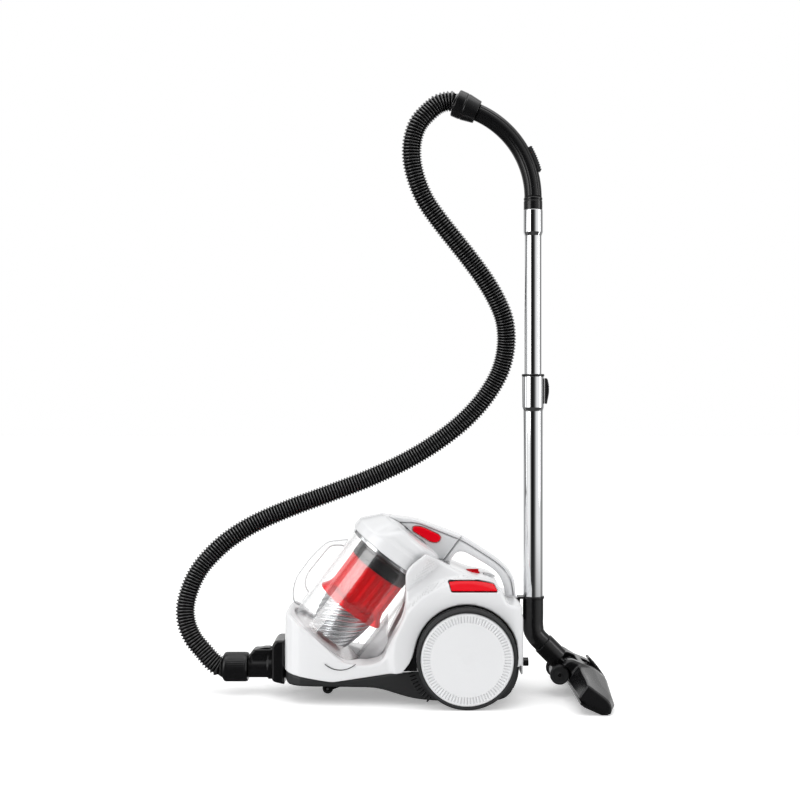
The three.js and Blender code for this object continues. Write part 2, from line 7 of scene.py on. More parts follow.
import bmesh
import bpy
import numpy as np
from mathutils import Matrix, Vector


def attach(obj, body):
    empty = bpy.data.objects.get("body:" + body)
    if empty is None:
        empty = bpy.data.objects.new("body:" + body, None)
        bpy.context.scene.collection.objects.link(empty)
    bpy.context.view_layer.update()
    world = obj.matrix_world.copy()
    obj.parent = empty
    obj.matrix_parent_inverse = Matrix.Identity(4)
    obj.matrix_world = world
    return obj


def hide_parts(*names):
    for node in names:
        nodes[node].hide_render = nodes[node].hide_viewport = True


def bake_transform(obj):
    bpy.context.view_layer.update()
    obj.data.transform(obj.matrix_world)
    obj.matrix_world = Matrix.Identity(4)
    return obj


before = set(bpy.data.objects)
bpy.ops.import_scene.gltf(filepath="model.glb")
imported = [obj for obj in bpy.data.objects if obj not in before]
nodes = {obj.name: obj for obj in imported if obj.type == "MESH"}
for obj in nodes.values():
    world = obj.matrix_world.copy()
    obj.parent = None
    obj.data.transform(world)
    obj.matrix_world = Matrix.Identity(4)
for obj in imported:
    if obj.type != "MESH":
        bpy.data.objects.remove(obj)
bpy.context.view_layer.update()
MM = 0.001

# ---- places that several pieces share, in millimetres; a pair is X, Z ----
WAND_X = 214.1
INLET_Z = 46.3
AXLE = (90.4, 84.5)
WELL_R = 88.3
CORD_HOLE = (-52, 67)  # Y, Z
CASTER_X = -122
BIN_AT = np.array([-98.2, 0.0, 171.0])
BIN_LEAN = math.radians(37)
BIN_AXIS = (math.sin(BIN_LEAN), 0, math.cos(BIN_LEAN))
GRIP_AT = (49.0, 880.0)
GRIP_R = 165.1
GRIP_END = math.radians(66.3)
PIVOT = (257.3, 38.2)
UP = (0, 0, 1)
TAGS = {-1: "left", 1: "right"}


# ---- camera, light and floor ----
def make_camera():
    data = bpy.data.cameras.new("camera")
    data.lens = 50.6
    data.sensor_width = 36
    data.clip_end = 30
    camera = bpy.data.objects.new("camera", data)
    bpy.context.scene.collection.objects.link(camera)
    camera.location = (-0.0224, -1.999, 0.520)
    camera.rotation_euler = (math.radians(90), 0, 0)
    bpy.context.scene.camera = camera


def area_light(name, location, target, size, power):
    """A rectangular lamp that faces its target."""
    data = bpy.data.lights.new(name, "AREA")
    data.shape = "RECTANGLE"
    data.size, data.size_y = size
    data.energy = power
    lamp = bpy.data.objects.new(name, data)
    lamp.location = location
    aim = Vector(target) - Vector(location)
    lamp.rotation_euler = aim.to_track_quat("-Z", "Y").to_euler()
    bpy.context.scene.collection.objects.link(lamp)


# How bright the room is all the way round: (share of a full turn, brightness), with the camera at 0.5.
SCREENS = [
    (0.0, 1.0), (0.083, 0.9), (0.153, 0.35), (0.222, 0.2), (0.267, 0.65), (0.306, 1.0), (0.375, 1.0),
    (0.394, 0.6), (0.417, 0.03), (0.458, 0.005), (0.514, 0.03), (0.544, 0.2), (0.578, 0.65), (0.611, 0.9),
    (0.722, 0.95), (0.764, 0.5), (0.806, 0.2), (0.875, 0.45), (0.944, 1.0), (1.0, 1.0),
]
BELOW_HORIZON = 0.05
CEILING = 1.0


def make_world():
    """A white room with dark screens round the camera, which draw the dark bands on glossy parts."""
    world = bpy.data.worlds.new("studio")
    world.use_nodes = True
    tree = world.node_tree

    def ranged(source, low, high):
        part = tree.nodes.new("ShaderNodeMapRange")
        part.inputs["From Min"].default_value = low
        part.inputs["From Max"].default_value = high
        tree.links.new(source, part.inputs["Value"])
        return part.outputs["Result"]

    def blend(factor, below, level):
        mix = tree.nodes.new("ShaderNodeMix")
        mix.data_type = "RGBA"
        mix.inputs["B"].default_value = (level, level, level, 1)
        tree.links.new(factor, mix.inputs["Factor"])
        tree.links.new(below, mix.inputs["A"])
        return mix.outputs["Result"]

    coords = tree.nodes.new("ShaderNodeTexCoord")
    split = tree.nodes.new("ShaderNodeSeparateXYZ")
    tree.links.new(coords.outputs["Generated"], split.inputs["Vector"])
    forward = tree.nodes.new("ShaderNodeMath")
    forward.operation = "MULTIPLY"
    forward.inputs[1].default_value = -1
    tree.links.new(split.outputs["Y"], forward.inputs[0])
    turn = tree.nodes.new("ShaderNodeMath")
    turn.operation = "ARCTAN2"
    tree.links.new(split.outputs["X"], turn.inputs[0])
    tree.links.new(forward.outputs["Value"], turn.inputs[1])
    screens = tree.nodes.new("ShaderNodeValToRGB")
    ramp = screens.color_ramp
    while len(ramp.elements) < len(SCREENS):
        ramp.elements.new(0.5)
    for element, (position, level) in zip(ramp.elements, SCREENS):
        element.position = position
        element.color = (level, level, level, 1)
    tree.links.new(ranged(turn.outputs["Value"], -math.pi, math.pi), screens.inputs["Fac"])
    shade = blend(ranged(split.outputs["Z"], -0.2, -0.4), screens.outputs["Color"],
                  BELOW_HORIZON)
    shade = blend(ranged(split.outputs["Z"], 0.5, 0.8), shade, CEILING)
    seen = tree.nodes.new("ShaderNodeLightPath")
    shade = blend(seen.outputs["Is Camera Ray"], shade, 1.0)
    tree.links.new(shade, tree.nodes["Background"].inputs["Color"])
    tree.nodes["Background"].inputs["Strength"].default_value = 1.0
    bpy.context.scene.world = world


def make_studio():
    make_world()
    bpy.context.scene.view_settings.view_transform = "Standard"
    area_light("overhead", (0, -0.2, 2.7), (0, -0.1, 0), (2.6, 1.6), 19)
    area_light("left_front_strip", (-1.7, -1.4, 1.0), (-0.05, 0, 0.3), (1.3, 1.5), 16)
    area_light("left_strip", (-2.1, 0.1, 0.9), (-0.05, 0, 0.4), (0.5, 1.8), 3)
    area_light("right_strip", (2.0, -0.5, 0.9), (0.1, 0, 0.4), (0.4, 1.8), 9)
    floor_mat = plastic("floor_white", (0.95, 0.95, 0.95), 0.7, grain=0.0, tone=0.005)
    floor_shader = floor_mat.node_tree.nodes["Principled BSDF"]
    floor_shader.inputs["Emission Color"].default_value = (1, 1, 1, 1)
    floor_shader.inputs["Emission Strength"].default_value = 0.3
    corners = [(-9, -1.4, 0), (9, -1.4, 0), (9, 14, 0), (-9, 14, 0)]
    floor = mesh_object("floor", corners, [(0, 1, 2, 3)], floor_mat, scale=1.0)
    floor.visible_glossy = False


# ---- materials ----
def shader(name):
    mat = bpy.data.materials.new(name)
    mat.use_nodes = True
    return mat, mat.node_tree, mat.node_tree.nodes["Principled BSDF"]


def add_grain(tree, bsdf, scale, strength, rough_low, rough_high, distance=0.0002):
    """Fine moulded texture: noise drives the roughness and a shallow bump."""
    coords = tree.nodes.new("ShaderNodeTexCoord")
    noise = tree.nodes.new("ShaderNodeTexNoise")
    noise.inputs["Scale"].default_value = scale
    noise.inputs["Detail"].default_value = 4
    tree.links.new(coords.outputs["Object"], noise.inputs["Vector"])
    spread = tree.nodes.new("ShaderNodeMapRange")
    spread.inputs["To Min"].default_value = rough_low
    spread.inputs["To Max"].default_value = rough_high
    tree.links.new(noise.outputs["Fac"], spread.inputs["Value"])
    tree.links.new(spread.outputs["Result"], bsdf.inputs["Roughness"])
    bump = tree.nodes.new("ShaderNodeBump")
    bump.inputs["Strength"].default_value = strength
    bump.inputs["Distance"].default_value = distance
    tree.links.new(noise.outputs["Fac"], bump.inputs["Height"])
    tree.links.new(bump.outputs["Normal"], bsdf.inputs["Normal"])
    return noise


def add_tone(tree, bsdf, color, scale, spread):
    """Slow, faint colour drift so that no surface is one flat colour."""
    coords = tree.nodes.new("ShaderNodeTexCoord")
    noise = tree.nodes.new("ShaderNodeTexNoise")
    noise.inputs["Scale"].default_value = scale
    tree.links.new(coords.outputs["Object"], noise.inputs["Vector"])
    ramp = tree.nodes.new("ShaderNodeValToRGB")
    ramp.color_ramp.elements[0].position = 0.3
    ramp.color_ramp.elements[1].position = 0.7
    ramp.color_ramp.elements[0].color = (*[c * (1 - spread) for c in color], 1)
    ramp.color_ramp.elements[1].color = (*[min(1, c * (1 + spread)) for c in color], 1)
    tree.links.new(noise.outputs["Fac"], ramp.inputs["Fac"])
    tree.links.new(ramp.outputs["Color"], bsdf.inputs["Base Color"])


def plastic(name, color, rough, grain=0.06, scale=900, coat=0.0, tone=0.02, metallic=0.0, gloss=0.5):
    """Opaque moulding: a faint colour drift, a fine grain and, where it is asked for, a clear coat."""
    mat, tree, bsdf = shader(name)
    bsdf.inputs["Base Color"].default_value = (*color, 1)
    bsdf.inputs["Metallic"].default_value = metallic
    bsdf.inputs["Specular IOR Level"].default_value = gloss
    bsdf.inputs["Coat Weight"].default_value = coat
    bsdf.inputs["Coat Roughness"].default_value = 0.06
    add_tone(tree, bsdf, color, 9, tone)
    add_grain(tree, bsdf, scale, grain, rough * 0.85, rough * 1.15)
    return mat


def see_through(name, color, rough, face_on, edge_on, grain=0.01, gloss=0.05, start=0.35, tint=(1, 1, 1)):
    """Clear moulding: see-through face on, denser towards its edges, with a mirror gloss over both."""
    mat, tree, bsdf = shader(name)
    bsdf.inputs["Base Color"].default_value = (*color, 1)
    add_grain(tree, bsdf, 60, grain, rough * 0.7, rough * 1.3)
    clear = tree.nodes.new("ShaderNodeBsdfTransparent")
    clear.inputs["Color"].default_value = (*tint, 1)
    facing = tree.nodes.new("ShaderNodeLayerWeight")
    facing.inputs["Blend"].default_value = 0.5
    spread = tree.nodes.new("ShaderNodeMapRange")
    spread.interpolation_type = "SMOOTHSTEP"
    spread.inputs["From Min"].default_value = start
    spread.inputs["To Min"].default_value = face_on
    spread.inputs["To Max"].default_value = edge_on
    tree.links.new(facing.outputs["Facing"], spread.inputs["Value"])
    wall = tree.nodes.new("ShaderNodeMixShader")
    tree.links.new(spread.outputs["Result"], wall.inputs["Fac"])
    tree.links.new(clear.outputs["BSDF"], wall.inputs[1])
    tree.links.new(bsdf.outputs["BSDF"], wall.inputs[2])
    shine = tree.nodes.new("ShaderNodeBsdfAnisotropic")
    shine.inputs["Roughness"].default_value = rough
    shine.inputs["Color"].default_value = (gloss, gloss, gloss, 1)
    total = tree.nodes.new("ShaderNodeAddShader")
    tree.links.new(wall.outputs["Shader"], total.inputs[0])
    tree.links.new(shine.outputs["BSDF"], total.inputs[1])
    tree.links.new(total.outputs["Shader"], tree.nodes["Material Output"].inputs["Surface"])
    return mat


def paint_glow(mat, color, strength):
    """Painted glow: an emission that stands in for light scattered inside a tinted clear moulding."""
    bsdf = mat.node_tree.nodes["Principled BSDF"]
    bsdf.inputs["Emission Color"].default_value = (*color, 1)
    bsdf.inputs["Emission Strength"].default_value = strength


def metal(name, color, rough, stretch=(1, 1, 0.02), scale=900, strength=0.03):
    """Drawn metal: noise stretched along the tube's length."""
    mat, tree, bsdf = shader(name)
    bsdf.inputs["Metallic"].default_value = 1.0
    noise = add_grain(tree, bsdf, scale, strength, rough * 0.6, rough * 1.4, 0.00005)
    mapping = tree.nodes.new("ShaderNodeMapping")
    mapping.inputs["Scale"].default_value = stretch
    coords = tree.nodes.new("ShaderNodeTexCoord")
    tree.links.new(coords.outputs["Object"], mapping.inputs["Vector"])
    tree.links.new(mapping.outputs["Vector"], noise.inputs["Vector"])
    add_tone(tree, bsdf, color, 5, 0.03)
    return mat


WHITE = plastic("gloss_white_shell", (0.725, 0.73, 0.74), 0.24, grain=0.02, coat=0.3, tone=0.01)
LIGHT_GREY = plastic("satin_light_grey", (0.62, 0.63, 0.64), 0.38, grain=0.05, tone=0.02)
DARK_GREY = plastic("fine_dark_grey", (0.022, 0.0225, 0.0235), 0.45, grain=0.16, scale=1500, tone=0.08,
                    gloss=0.35)
BLACK = plastic("satin_black", (0.005, 0.005, 0.0055), 0.24, grain=0.08, scale=1300, tone=0.1, gloss=0.42)
RUBBER = plastic("tyre_rubber", (0.02, 0.0205, 0.0215), 0.6, grain=0.22, scale=700, tone=0.12, gloss=0.35)
RED = plastic("gloss_red", (0.72, 0.001, 0.01), 0.2, grain=0.02, tone=0.03, gloss=0.2)
SILVER = plastic("silver_spray", (0.66, 0.67, 0.68), 0.24, grain=0.05, metallic=0.92, tone=0.04)
HOSE_SKIN = plastic("ribbed_hose", (0.012, 0.012, 0.0125), 0.15, grain=0.03, scale=800, coat=0.6, tone=0.12,
                    gloss=1.0)
# Painted shade: the hose's valleys get a blacker, matt copy of its skin, where shade falls between the ribs.
HOSE_VALLEY_SHADE = plastic("hose_valley_painted_shade", (0.002, 0.002, 0.002), 0.8, grain=0.03, scale=800, tone=0.1, gloss=0.05)
FOAM = plastic("filter_foam", (0.09, 0.09, 0.1), 0.9, grain=0.9, scale=420, tone=0.25)
CLEAR = see_through("clear_bin", (0.5, 0.51, 0.52), 0.04, 0.01, 0.34, gloss=0.06)
CLEAR_EDGED = see_through("clear_handle", (0.3, 0.31, 0.32), 0.06, 0.1, 1.0, gloss=0.02, start=0.02)
# Painted reflection: a whiter, denser clear moulding for the bin door and inner duct stands in for their
# bright white reflections and lightens the shaded inside of the bin.
CLEAR_WHITENED = see_through("clear_painted_reflection", (0.8, 0.81, 0.82), 0.15, 0.35, 0.8, grain=0.05, gloss=0.08)
CLEAR_RED = see_through("clear_red_shroud", (0.72, 0.002, 0.01), 0.1, 0.22, 0.97, grain=0.03, gloss=0.02,
                        tint=(0.95, 0.14, 0.17))
# Painted light: the red shroud glows by emission, standing in for light passing through it.
paint_glow(CLEAR_RED, (0.85, 0.0, 0.015), 0.09)
# Painted light on the cyclone core: the dark red inner core is painted shade for the gaps between its
# windows, and the pale red bars are painted lit bars.
CORE_SHADE_RED = plastic("core_red_painted_shade", (0.5, 0.004, 0.008), 0.35, grain=0.03, tone=0.05)
BAR_LIT_RED = plastic("core_red_painted_lit", (1.0, 0.42, 0.4), 0.25, grain=0.03, tone=0.05)
CHROME = metal("chrome_tube", (0.86, 0.87, 0.88), 0.07)
STEEL = metal("brushed_steel", (0.5, 0.5, 0.52), 0.3, stretch=(1, 0.05, 1))


# ---- mesh helpers ----
def mesh_object(name, verts, faces, mat, scale=MM):
    """An object with one smooth-shaded mesh, from points in millimetres unless a scale is given."""
    mesh = bpy.data.meshes.new(name)
    mesh.from_pydata((np.asarray(verts, float) * scale).tolist(), [], [tuple(f) for f in faces])
    mesh.validate()
    mesh.materials.append(mat)
    mesh.polygons.foreach_set("use_smooth", [True] * len(mesh.polygons))
    obj = bpy.data.objects.new(name, mesh)
    bpy.context.scene.collection.objects.link(obj)
    return obj


def place(obj, body, material_slot, *stands_for):
    """Puts a piece on its body and hides the CAD nodes that it stands for."""
    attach(obj, body)
    if stands_for:
        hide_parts(*stands_for)


def frame_along(direction):
    """Two unit vectors square to a direction; the first lies as near +Y as it can."""
    z = np.asarray(direction, float)
    z = z / np.linalg.norm(z)
    x = np.array([0.0, 1.0, 0.0]) - z[1] * z
    if np.linalg.norm(x) < 1e-6:
        x = np.array([1.0, 0.0, 0.0])
    x = x / np.linalg.norm(x)
    return x, np.cross(z, x), z


def grid_faces(rows, cols, wrap_rows=False):
    """Four-sided faces between rows of points; each row closes on itself."""
    i = np.arange(rows if wrap_rows else rows - 1)
    a, b = np.meshgrid(i, np.arange(cols), indexing="ij")
    up, across = (a + 1) % rows, (b + 1) % cols
    quads = np.stack([a * cols + b, a * cols + across, up * cols + across, up * cols + b], -1)
    return quads.reshape(-1, 4).tolist()


def smooth_profile(points, rounding):
    """Rounds each corner of an open [r, h] profile."""
    points = [np.asarray(p, float) for p in points]
    out = [points[0]]
    for before, corner, after in zip(points, points[1:], points[2:]):
        leg_in, leg_out = before - corner, after - corner
        cut = min(rounding, 0.45 * np.linalg.norm(leg_in), 0.45 * np.linalg.norm(leg_out))
        start = corner + leg_in / max(np.linalg.norm(leg_in), 1e-9) * cut
        end = corner + leg_out / max(np.linalg.norm(leg_out), 1e-9) * cut
        for t in (0, 0.25, 0.5, 0.75, 1):
            out.append((1 - t) ** 2 * start + 2 * t * (1 - t) * corner + t * t * end)
    out.append(points[-1])
    return np.array(out)


def lathe(name, profile, at, direction, mat, segments=96, rounding=1.5, closed=True, shift=None):
    """Turns an [r, h] profile. shift(angle, r, h) may move points along the axis and outward."""
    line = [np.asarray(p, float) for p in profile]
    if closed:
        middle = (line[0] + line[1]) / 2
        line = smooth_profile([middle] + line[1:] + [line[0], middle], rounding)[:-1]
    else:
        line = smooth_profile(line, rounding)
    angles = np.linspace(0, 2 * math.pi, segments, endpoint=False)
    r = np.repeat(line[:, 0][:, None], segments, 1)
    h = np.repeat(line[:, 1][:, None], segments, 1)
    a = np.repeat(angles[None, :], len(line), 0)
    if shift:
        dr, dh = shift(a, r, h)
        r, h = r + dr, h + dh
    x, y, z = frame_along(direction)
    verts = (np.asarray(at, float) + (r * np.cos(a))[..., None] * x
             + (r * np.sin(a))[..., None] * y + h[..., None] * z)
    faces = grid_faces(len(line), segments, wrap_rows=closed)
    return tidy_mesh(mesh_object(name, verts.reshape(-1, 3), faces, mat))


def add_box(verts, faces, corners):
    """Adds a six-sided block, given the four corners of one end and then those of the other."""
    base = len(verts)
    verts += corners
    for i in range(4):
        j = (i + 1) % 4
        faces.append((base + i, base + j, base + 4 + j, base + 4 + i))
    faces += [(base, base + 1, base + 2, base + 3), (base + 7, base + 6, base + 5, base + 4)]


def tidy_mesh(obj):
    """Welds the points at a pole and turns every face outward."""
    mesh = bmesh.new()
    mesh.from_mesh(obj.data)
    bmesh.ops.remove_doubles(mesh, verts=mesh.verts, dist=1e-6)
    bmesh.ops.dissolve_degenerate(mesh, edges=mesh.edges, dist=1e-7)
    bmesh.ops.recalc_face_normals(mesh, faces=mesh.faces)
    for face in mesh.faces:
        face.smooth = True
    mesh.to_mesh(obj.data)
    mesh.free()
    return obj


SPAN_POINTS = 24


def centripetal(points):
    """A smooth line through the points, the same centripetal Catmull-Rom curve as in the CAD."""
    points = np.asarray(points, float)
    first = 2 * points[0] - points[1]
    last = 2 * points[-1] - points[-2]
    p = np.vstack([first, points, last])
    out = []
    for i in range(1, len(p) - 2):
        gaps = [max(np.linalg.norm(p[k + 1] - p[k]) ** 0.5, 1e-4) for k in (i - 1, i, i + 1)]
        t0, t1, t2 = gaps
        m1 = (p[i] - p[i - 1]) / t0 - (p[i + 1] - p[i - 1]) / (t0 + t1) + (p[i + 1] - p[i]) / t1
        m2 = (p[i + 1] - p[i]) / t1 - (p[i + 2] - p[i]) / (t1 + t2) + (p[i + 2] - p[i + 1]) / t2
        m1, m2 = m1 * t1, m2 * t1
        for t in np.linspace(0, 1, SPAN_POINTS, endpoint=False):
            out.append((2 * t**3 - 3 * t**2 + 1) * p[i] + (t**3 - 2 * t**2 + t) * m1
                       + (-2 * t**3 + 3 * t**2) * p[i + 1] + (t**3 - t**2) * m2)
    out.append(points[-1])
    return np.array(out)


def resample(line, step):
    """Evenly spaced points along a line, and how far along it each one is."""
    lengths = np.r_[0, np.cumsum(np.linalg.norm(np.diff(line, axis=0), axis=1))]
    at = np.linspace(0, lengths[-1], max(2, int(round(lengths[-1] / step)) + 1))
    return np.stack([np.interp(at, lengths, line[:, k]) for k in range(3)], 1), at


def sweep(name, line, at, outer, inner, mat, segments=40, section=None):
    """A hollow tube along a line. outer and inner are radii by distance; section(angle) scales."""
    tangent = np.gradient(line, axis=0)
    tangent /= np.linalg.norm(tangent, axis=1)[:, None]
    side = np.zeros_like(line)
    side[0] = frame_along(tangent[0])[0]
    for i in range(1, len(line)):
        v = side[i - 1] - tangent[i] * (side[i - 1] @ tangent[i])
        side[i] = v / np.linalg.norm(v)
    up = np.cross(tangent, side)
    angle = np.linspace(0, 2 * math.pi, segments, endpoint=False)
    shape = np.ones(segments) if section is None else section(angle)
    ring = side[:, None, :] * np.cos(angle)[None, :, None] + up[:, None, :] * np.sin(angle)[None, :, None]
    outside = line[:, None, :] + ring * (outer(at)[:, None] * shape[None, :])[..., None]
    inside = line[::-1, None, :] + (ring * np.full((len(line), 1, 1), inner))[::-1]
    verts = np.concatenate([outside, inside], 0)
    faces = grid_faces(len(verts), segments, wrap_rows=True)
    return tidy_mesh(mesh_object(name, verts.reshape(-1, 3), faces, mat))


# ---- distance fields and their mesher ----
ARC_POINTS = 6


def polygon(points, a, b):
    """Signed distance from points (a, b) to a closed outline, negative inside."""
    a, b = np.broadcast_arrays(np.asarray(a, float), np.asarray(b, float))
    best = np.full(a.shape, 1e18)
    inside = np.zeros(a.shape, bool)
    for (x0, y0), (x1, y1) in zip(points, points[1:] + points[:1]):
        dx, dy = x1 - x0, y1 - y0
        t = np.clip(((a - x0) * dx + (b - y0) * dy) / (dx * dx + dy * dy), 0, 1)
        best = np.minimum(best, (a - x0 - t * dx) ** 2 + (b - y0 - t * dy) ** 2)
        crosses = (y0 > b) != (y1 > b)
        at_x = x0 + (b - y0) * dx / (dy if dy else 1e-12)
        inside ^= crosses & (a < at_x)
    return np.where(inside, -1, 1) * np.sqrt(best)


def rounded(points):
    """Replaces each (x, y, radius) corner by a smooth arc of points."""
    out = []
    for i, p in enumerate(points):
        corner = np.array(p[:2], float)
        radius = p[2] if len(p) > 2 else 0
        if not radius:
            out.append((float(corner[0]), float(corner[1])))
            continue
        before = np.array(points[i - 1][:2], float) - corner
        after = np.array(points[(i + 1) % len(points)][:2], float) - corner
        cut = [min(radius, 0.48 * np.linalg.norm(v)) / np.linalg.norm(v) for v in (before, after)]
        start, end = corner + before * cut[0], corner + after * cut[1]
        for t in np.linspace(0, 1, ARC_POINTS):
            q = (1 - t) ** 2 * start + 2 * t * (1 - t) * corner + t * t * end
            out.append((float(q[0]), float(q[1])))
    return out


def both(a, b, r=0.001):
    """Intersection with its edge rounded by r."""
    u, v = np.maximum(a + r, 0), np.maximum(b + r, 0)
    return np.minimum(np.maximum(a, b), -r) + np.sqrt(u * u + v * v)


def either(a, b, r=0.001):
    """Union with its inner corner filled by r."""
    return -both(-a, -b, r)


def less(a, b, r=0.001):
    """a with b cut away, the new edge rounded by r."""
    return both(a, -b, r)


def bin_frame(x, z):
    """Rearward and upward coordinates of the leaning bin."""
    dx, dz = x - BIN_AT[0], z - BIN_AT[2]
    return (dx * math.cos(BIN_LEAN) - dz * math.sin(BIN_LEAN),
            dx * math.sin(BIN_LEAN) + dz * math.cos(BIN_LEAN))


def field_mesh(name, shape, low, high, step, mat):
    """Meshes the zero surface of shape(x, y, z) with surface nets and pulls it onto the surface."""
    axes = [np.arange(start - 2 * step, end + 2.01 * step, step) for start, end in zip(low, high)]
    x, y, z = (axes[0][:, None, None], axes[1][None, :, None], axes[2][None, None, :])
    full = [len(a) for a in axes]
    f = np.broadcast_to(shape(x, y, z), full).astype(np.float32)
    inside = f < 0
    corner = [(i, j, k) for i in (0, 1) for j in (0, 1) for k in (0, 1)]
    n = [m - 1 for m in full]
    total = np.zeros(n, np.int8)
    for i, j, k in corner:
        total += inside[i:i + n[0], j:j + n[1], k:k + n[2]]
    cells = np.argwhere((total > 0) & (total < 8))
    index = np.full(n, -1, np.int64)
    index[tuple(cells.T)] = np.arange(len(cells))
    value = {c: f[cells[:, 0] + c[0], cells[:, 1] + c[1], cells[:, 2] + c[2]] for c in corner}
    spot = np.zeros((len(cells), 3))
    count = np.zeros(len(cells))
    for c in corner:
        for axis in range(3):
            if c[axis]:
                continue
            d = list(c)
            d[axis] = 1
            va, vb = value[c], value[tuple(d)]
            hit = (va < 0) != (vb < 0)
            t = np.where(hit, va / np.where(hit, va - vb, 1), 0)
            p = np.array(c, float)[None, :].repeat(len(cells), 0)
            p[:, axis] += t
            spot[hit] += p[hit]
            count[hit] += 1
    verts = np.array([a[0] for a in axes]) + (cells + spot / count[:, None]) * step
    faces = []
    for axis in range(3):
        u, v = (axis + 1) % 3, (axis + 2) % 3
        here = [slice(None)] * 3
        there = [slice(None)] * 3
        here[axis], there[axis] = slice(0, -1), slice(1, None)
        a, b = inside[tuple(here)], inside[tuple(there)]
        edges = np.argwhere(a != b)
        edges = edges[(edges[:, u] > 0) & (edges[:, v] > 0)
                      & (edges[:, u] < n[u]) & (edges[:, v] < n[v])]
        starts = a[tuple(edges.T)]
        quad = []
        for du, dv in ((0, 0), (1, 0), (1, 1), (0, 1)):
            c = edges.copy()
            c[:, u] -= du
            c[:, v] -= dv
            quad.append(index[tuple(c.T)])
        quad = np.stack(quad, 1)
        quad[~starts] = quad[~starts][:, ::-1]
        faces.append(quad)
    faces = np.concatenate(faces)
    faces = faces[(faces >= 0).all(1)][:, ::-1]
    h = step * 0.05
    for _ in range(3):
        px, py, pz = verts.T
        base = shape(px, py, pz)
        slope = np.stack([shape(px + h, py, pz) - base, shape(px, py + h, pz) - base,
                          shape(px, py, pz + h) - base], 1) / h
        size = np.maximum((slope ** 2).sum(1), 0.2)
        move = -(base / size)[:, None] * slope
        reach = np.linalg.norm(move, axis=1)
        move *= np.minimum(1, 0.4 * step / np.maximum(reach, 1e-9))[:, None]
        verts = verts + move
    return mesh_object(name, verts, faces, mat)


def cylinder(x, z, y, cx, cz, radius):
    """Distance to a round bar along Y."""
    return np.hypot(x - cx, z - cz) - radius + 0 * y


def soft_step(value, low, high):
    """Rises smoothly from 0 at low to 1 at high."""
    t = np.clip((value - low) / (high - low), 0, 1)
    return t * t * (3 - 2 * t)


# ---- hose ----
HOSE_ROUTE = [
    (-336.4, 0, 46.3), (-342, 0, 46.3), (-356, 1, 56), (-372, 3, 73), (-391, 5, 96), (-403, 9, 122),
    (-406, 14, 150), (-399, 20, 182), (-384, 28, 214), (-360, 36, 243), (-330, 44, 269),
    (-287, 54, 295), (-224, 66, 322), (-152, 78, 348), (-78, 88, 376), (-4, 94, 411), (52, 96, 446),
    (99, 95, 484), (136, 90, 526), (163, 82, 574), (173, 72, 622), (169, 62, 666), (154, 54, 702),
    (132, 46, 738), (104, 38, 775), (76, 30, 809), (48, 22, 843), (23, 15, 878), (7, 9, 914),
    (-1, 5, 949), (0, 2, 982), (10, 0, 1011), (28, 0, 1032), (48, 0, 1047), (70.3, 0, 1051),
    (75.4, 0, 1048.7),
]
RIB_PITCH = 5.4
RIB_STEPS = 8
VALLEY_R = 14.2
RIB_HEIGHT = 4
BORE_R = 13.6
HOSE_SIDES = 36


def make_hose():
    line, at = resample(centripetal(HOSE_ROUTE), RIB_PITCH / RIB_STEPS)

    def wave(distance):
        return 0.5 - 0.5 * np.cos(2 * math.pi * distance / RIB_PITCH)

    hose = sweep("hose_ribbed", line, at, lambda d: VALLEY_R + RIB_HEIGHT * wave(d) ** 0.8, BORE_R, HOSE_SKIN,
                 segments=HOSE_SIDES)
    # Painted shade in the valleys between the ribs.
    hose.data.materials.append(HOSE_VALLEY_SHADE)
    valley_shade = np.zeros(len(hose.data.polygons) // HOSE_SIDES, int)
    valley_shade[:len(at) - 1] = wave((at[1:] + at[:-1]) / 2) < 0.3
    hose.data.polygons.foreach_set("material_index", np.repeat(valley_shade, HOSE_SIDES))
    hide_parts("hose")
    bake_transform(hose)


# ---- white shell and chassis ----
SIDE = rounded([
    (-224, 51.7, 2), (-138, 38.7, 10), (-10, 58.1, 12), (110, 58.7), (184.3, 66.1), (184.3, 50),
    (190.5, 50, 2), (190.5, 148, 3), (187, 154, 3), (187, 168, 4), (161, 172, 8), (150, 198, 14),
    (138, 209, 10), (98, 217.5, 10), (66, 231, 10), (22, 257.5, 4), (-4, 238, 8), (-13.5, 225, 10),
    (-12.6, 201, 16), (-13.5, 154, 22), (-40, 106, 22), (-52, 75, 14), (-78, 68, 14), (-114, 71, 14),
    (-136, 85.5, 14), (-200, 141.8, 14), (-213, 153, 6), (-224, 150, 6),
])
PLAN = rounded([
    (-224, -80, 46), (-60, -99, 40), (165, -99, 30), (190.8, -82, 18),
    (190.8, 82, 18), (165, 99, 30), (-60, 99, 40), (-224, 80, 46),
])
BRIDGE_RUN = [(-30, 150), (20, 205), (26, 236), (53.6, 236.6), (118, 322), (-30, 330)]
PEDAL = rounded([(60.8, 210.8, 2), (134.8, 211.4, 2), (143.6, 194.6, 2), (65.4, 194.6, 2)])
ARCH_CORNER = rounded([(-24, 40), (-18, 60, 8), (-4, 76, 14), (4, 104), (14, 104), (14, 40)])


def half_width(x, z):
    """How far each side of the shell stands out: full over the wheels and round the lid, less on deck."""
    reach = np.hypot(x - AXLE[0], z - AXLE[1])
    fender = 97.5 - 9 * soft_step(reach, 121, 136)
    belly = 88 - 8 * soft_step(-x, 60, 224)
    deck = 30 * soft_step(z, 150, 262)
    rear, up = bin_frame(x, z)
    collar = 92 - 40 * soft_step(rear, 34, 92) - 60 * soft_step(-up, -50, 20)
    return np.maximum(np.maximum(fender, belly) - deck - 3 * soft_step(z, 190, 215), collar)


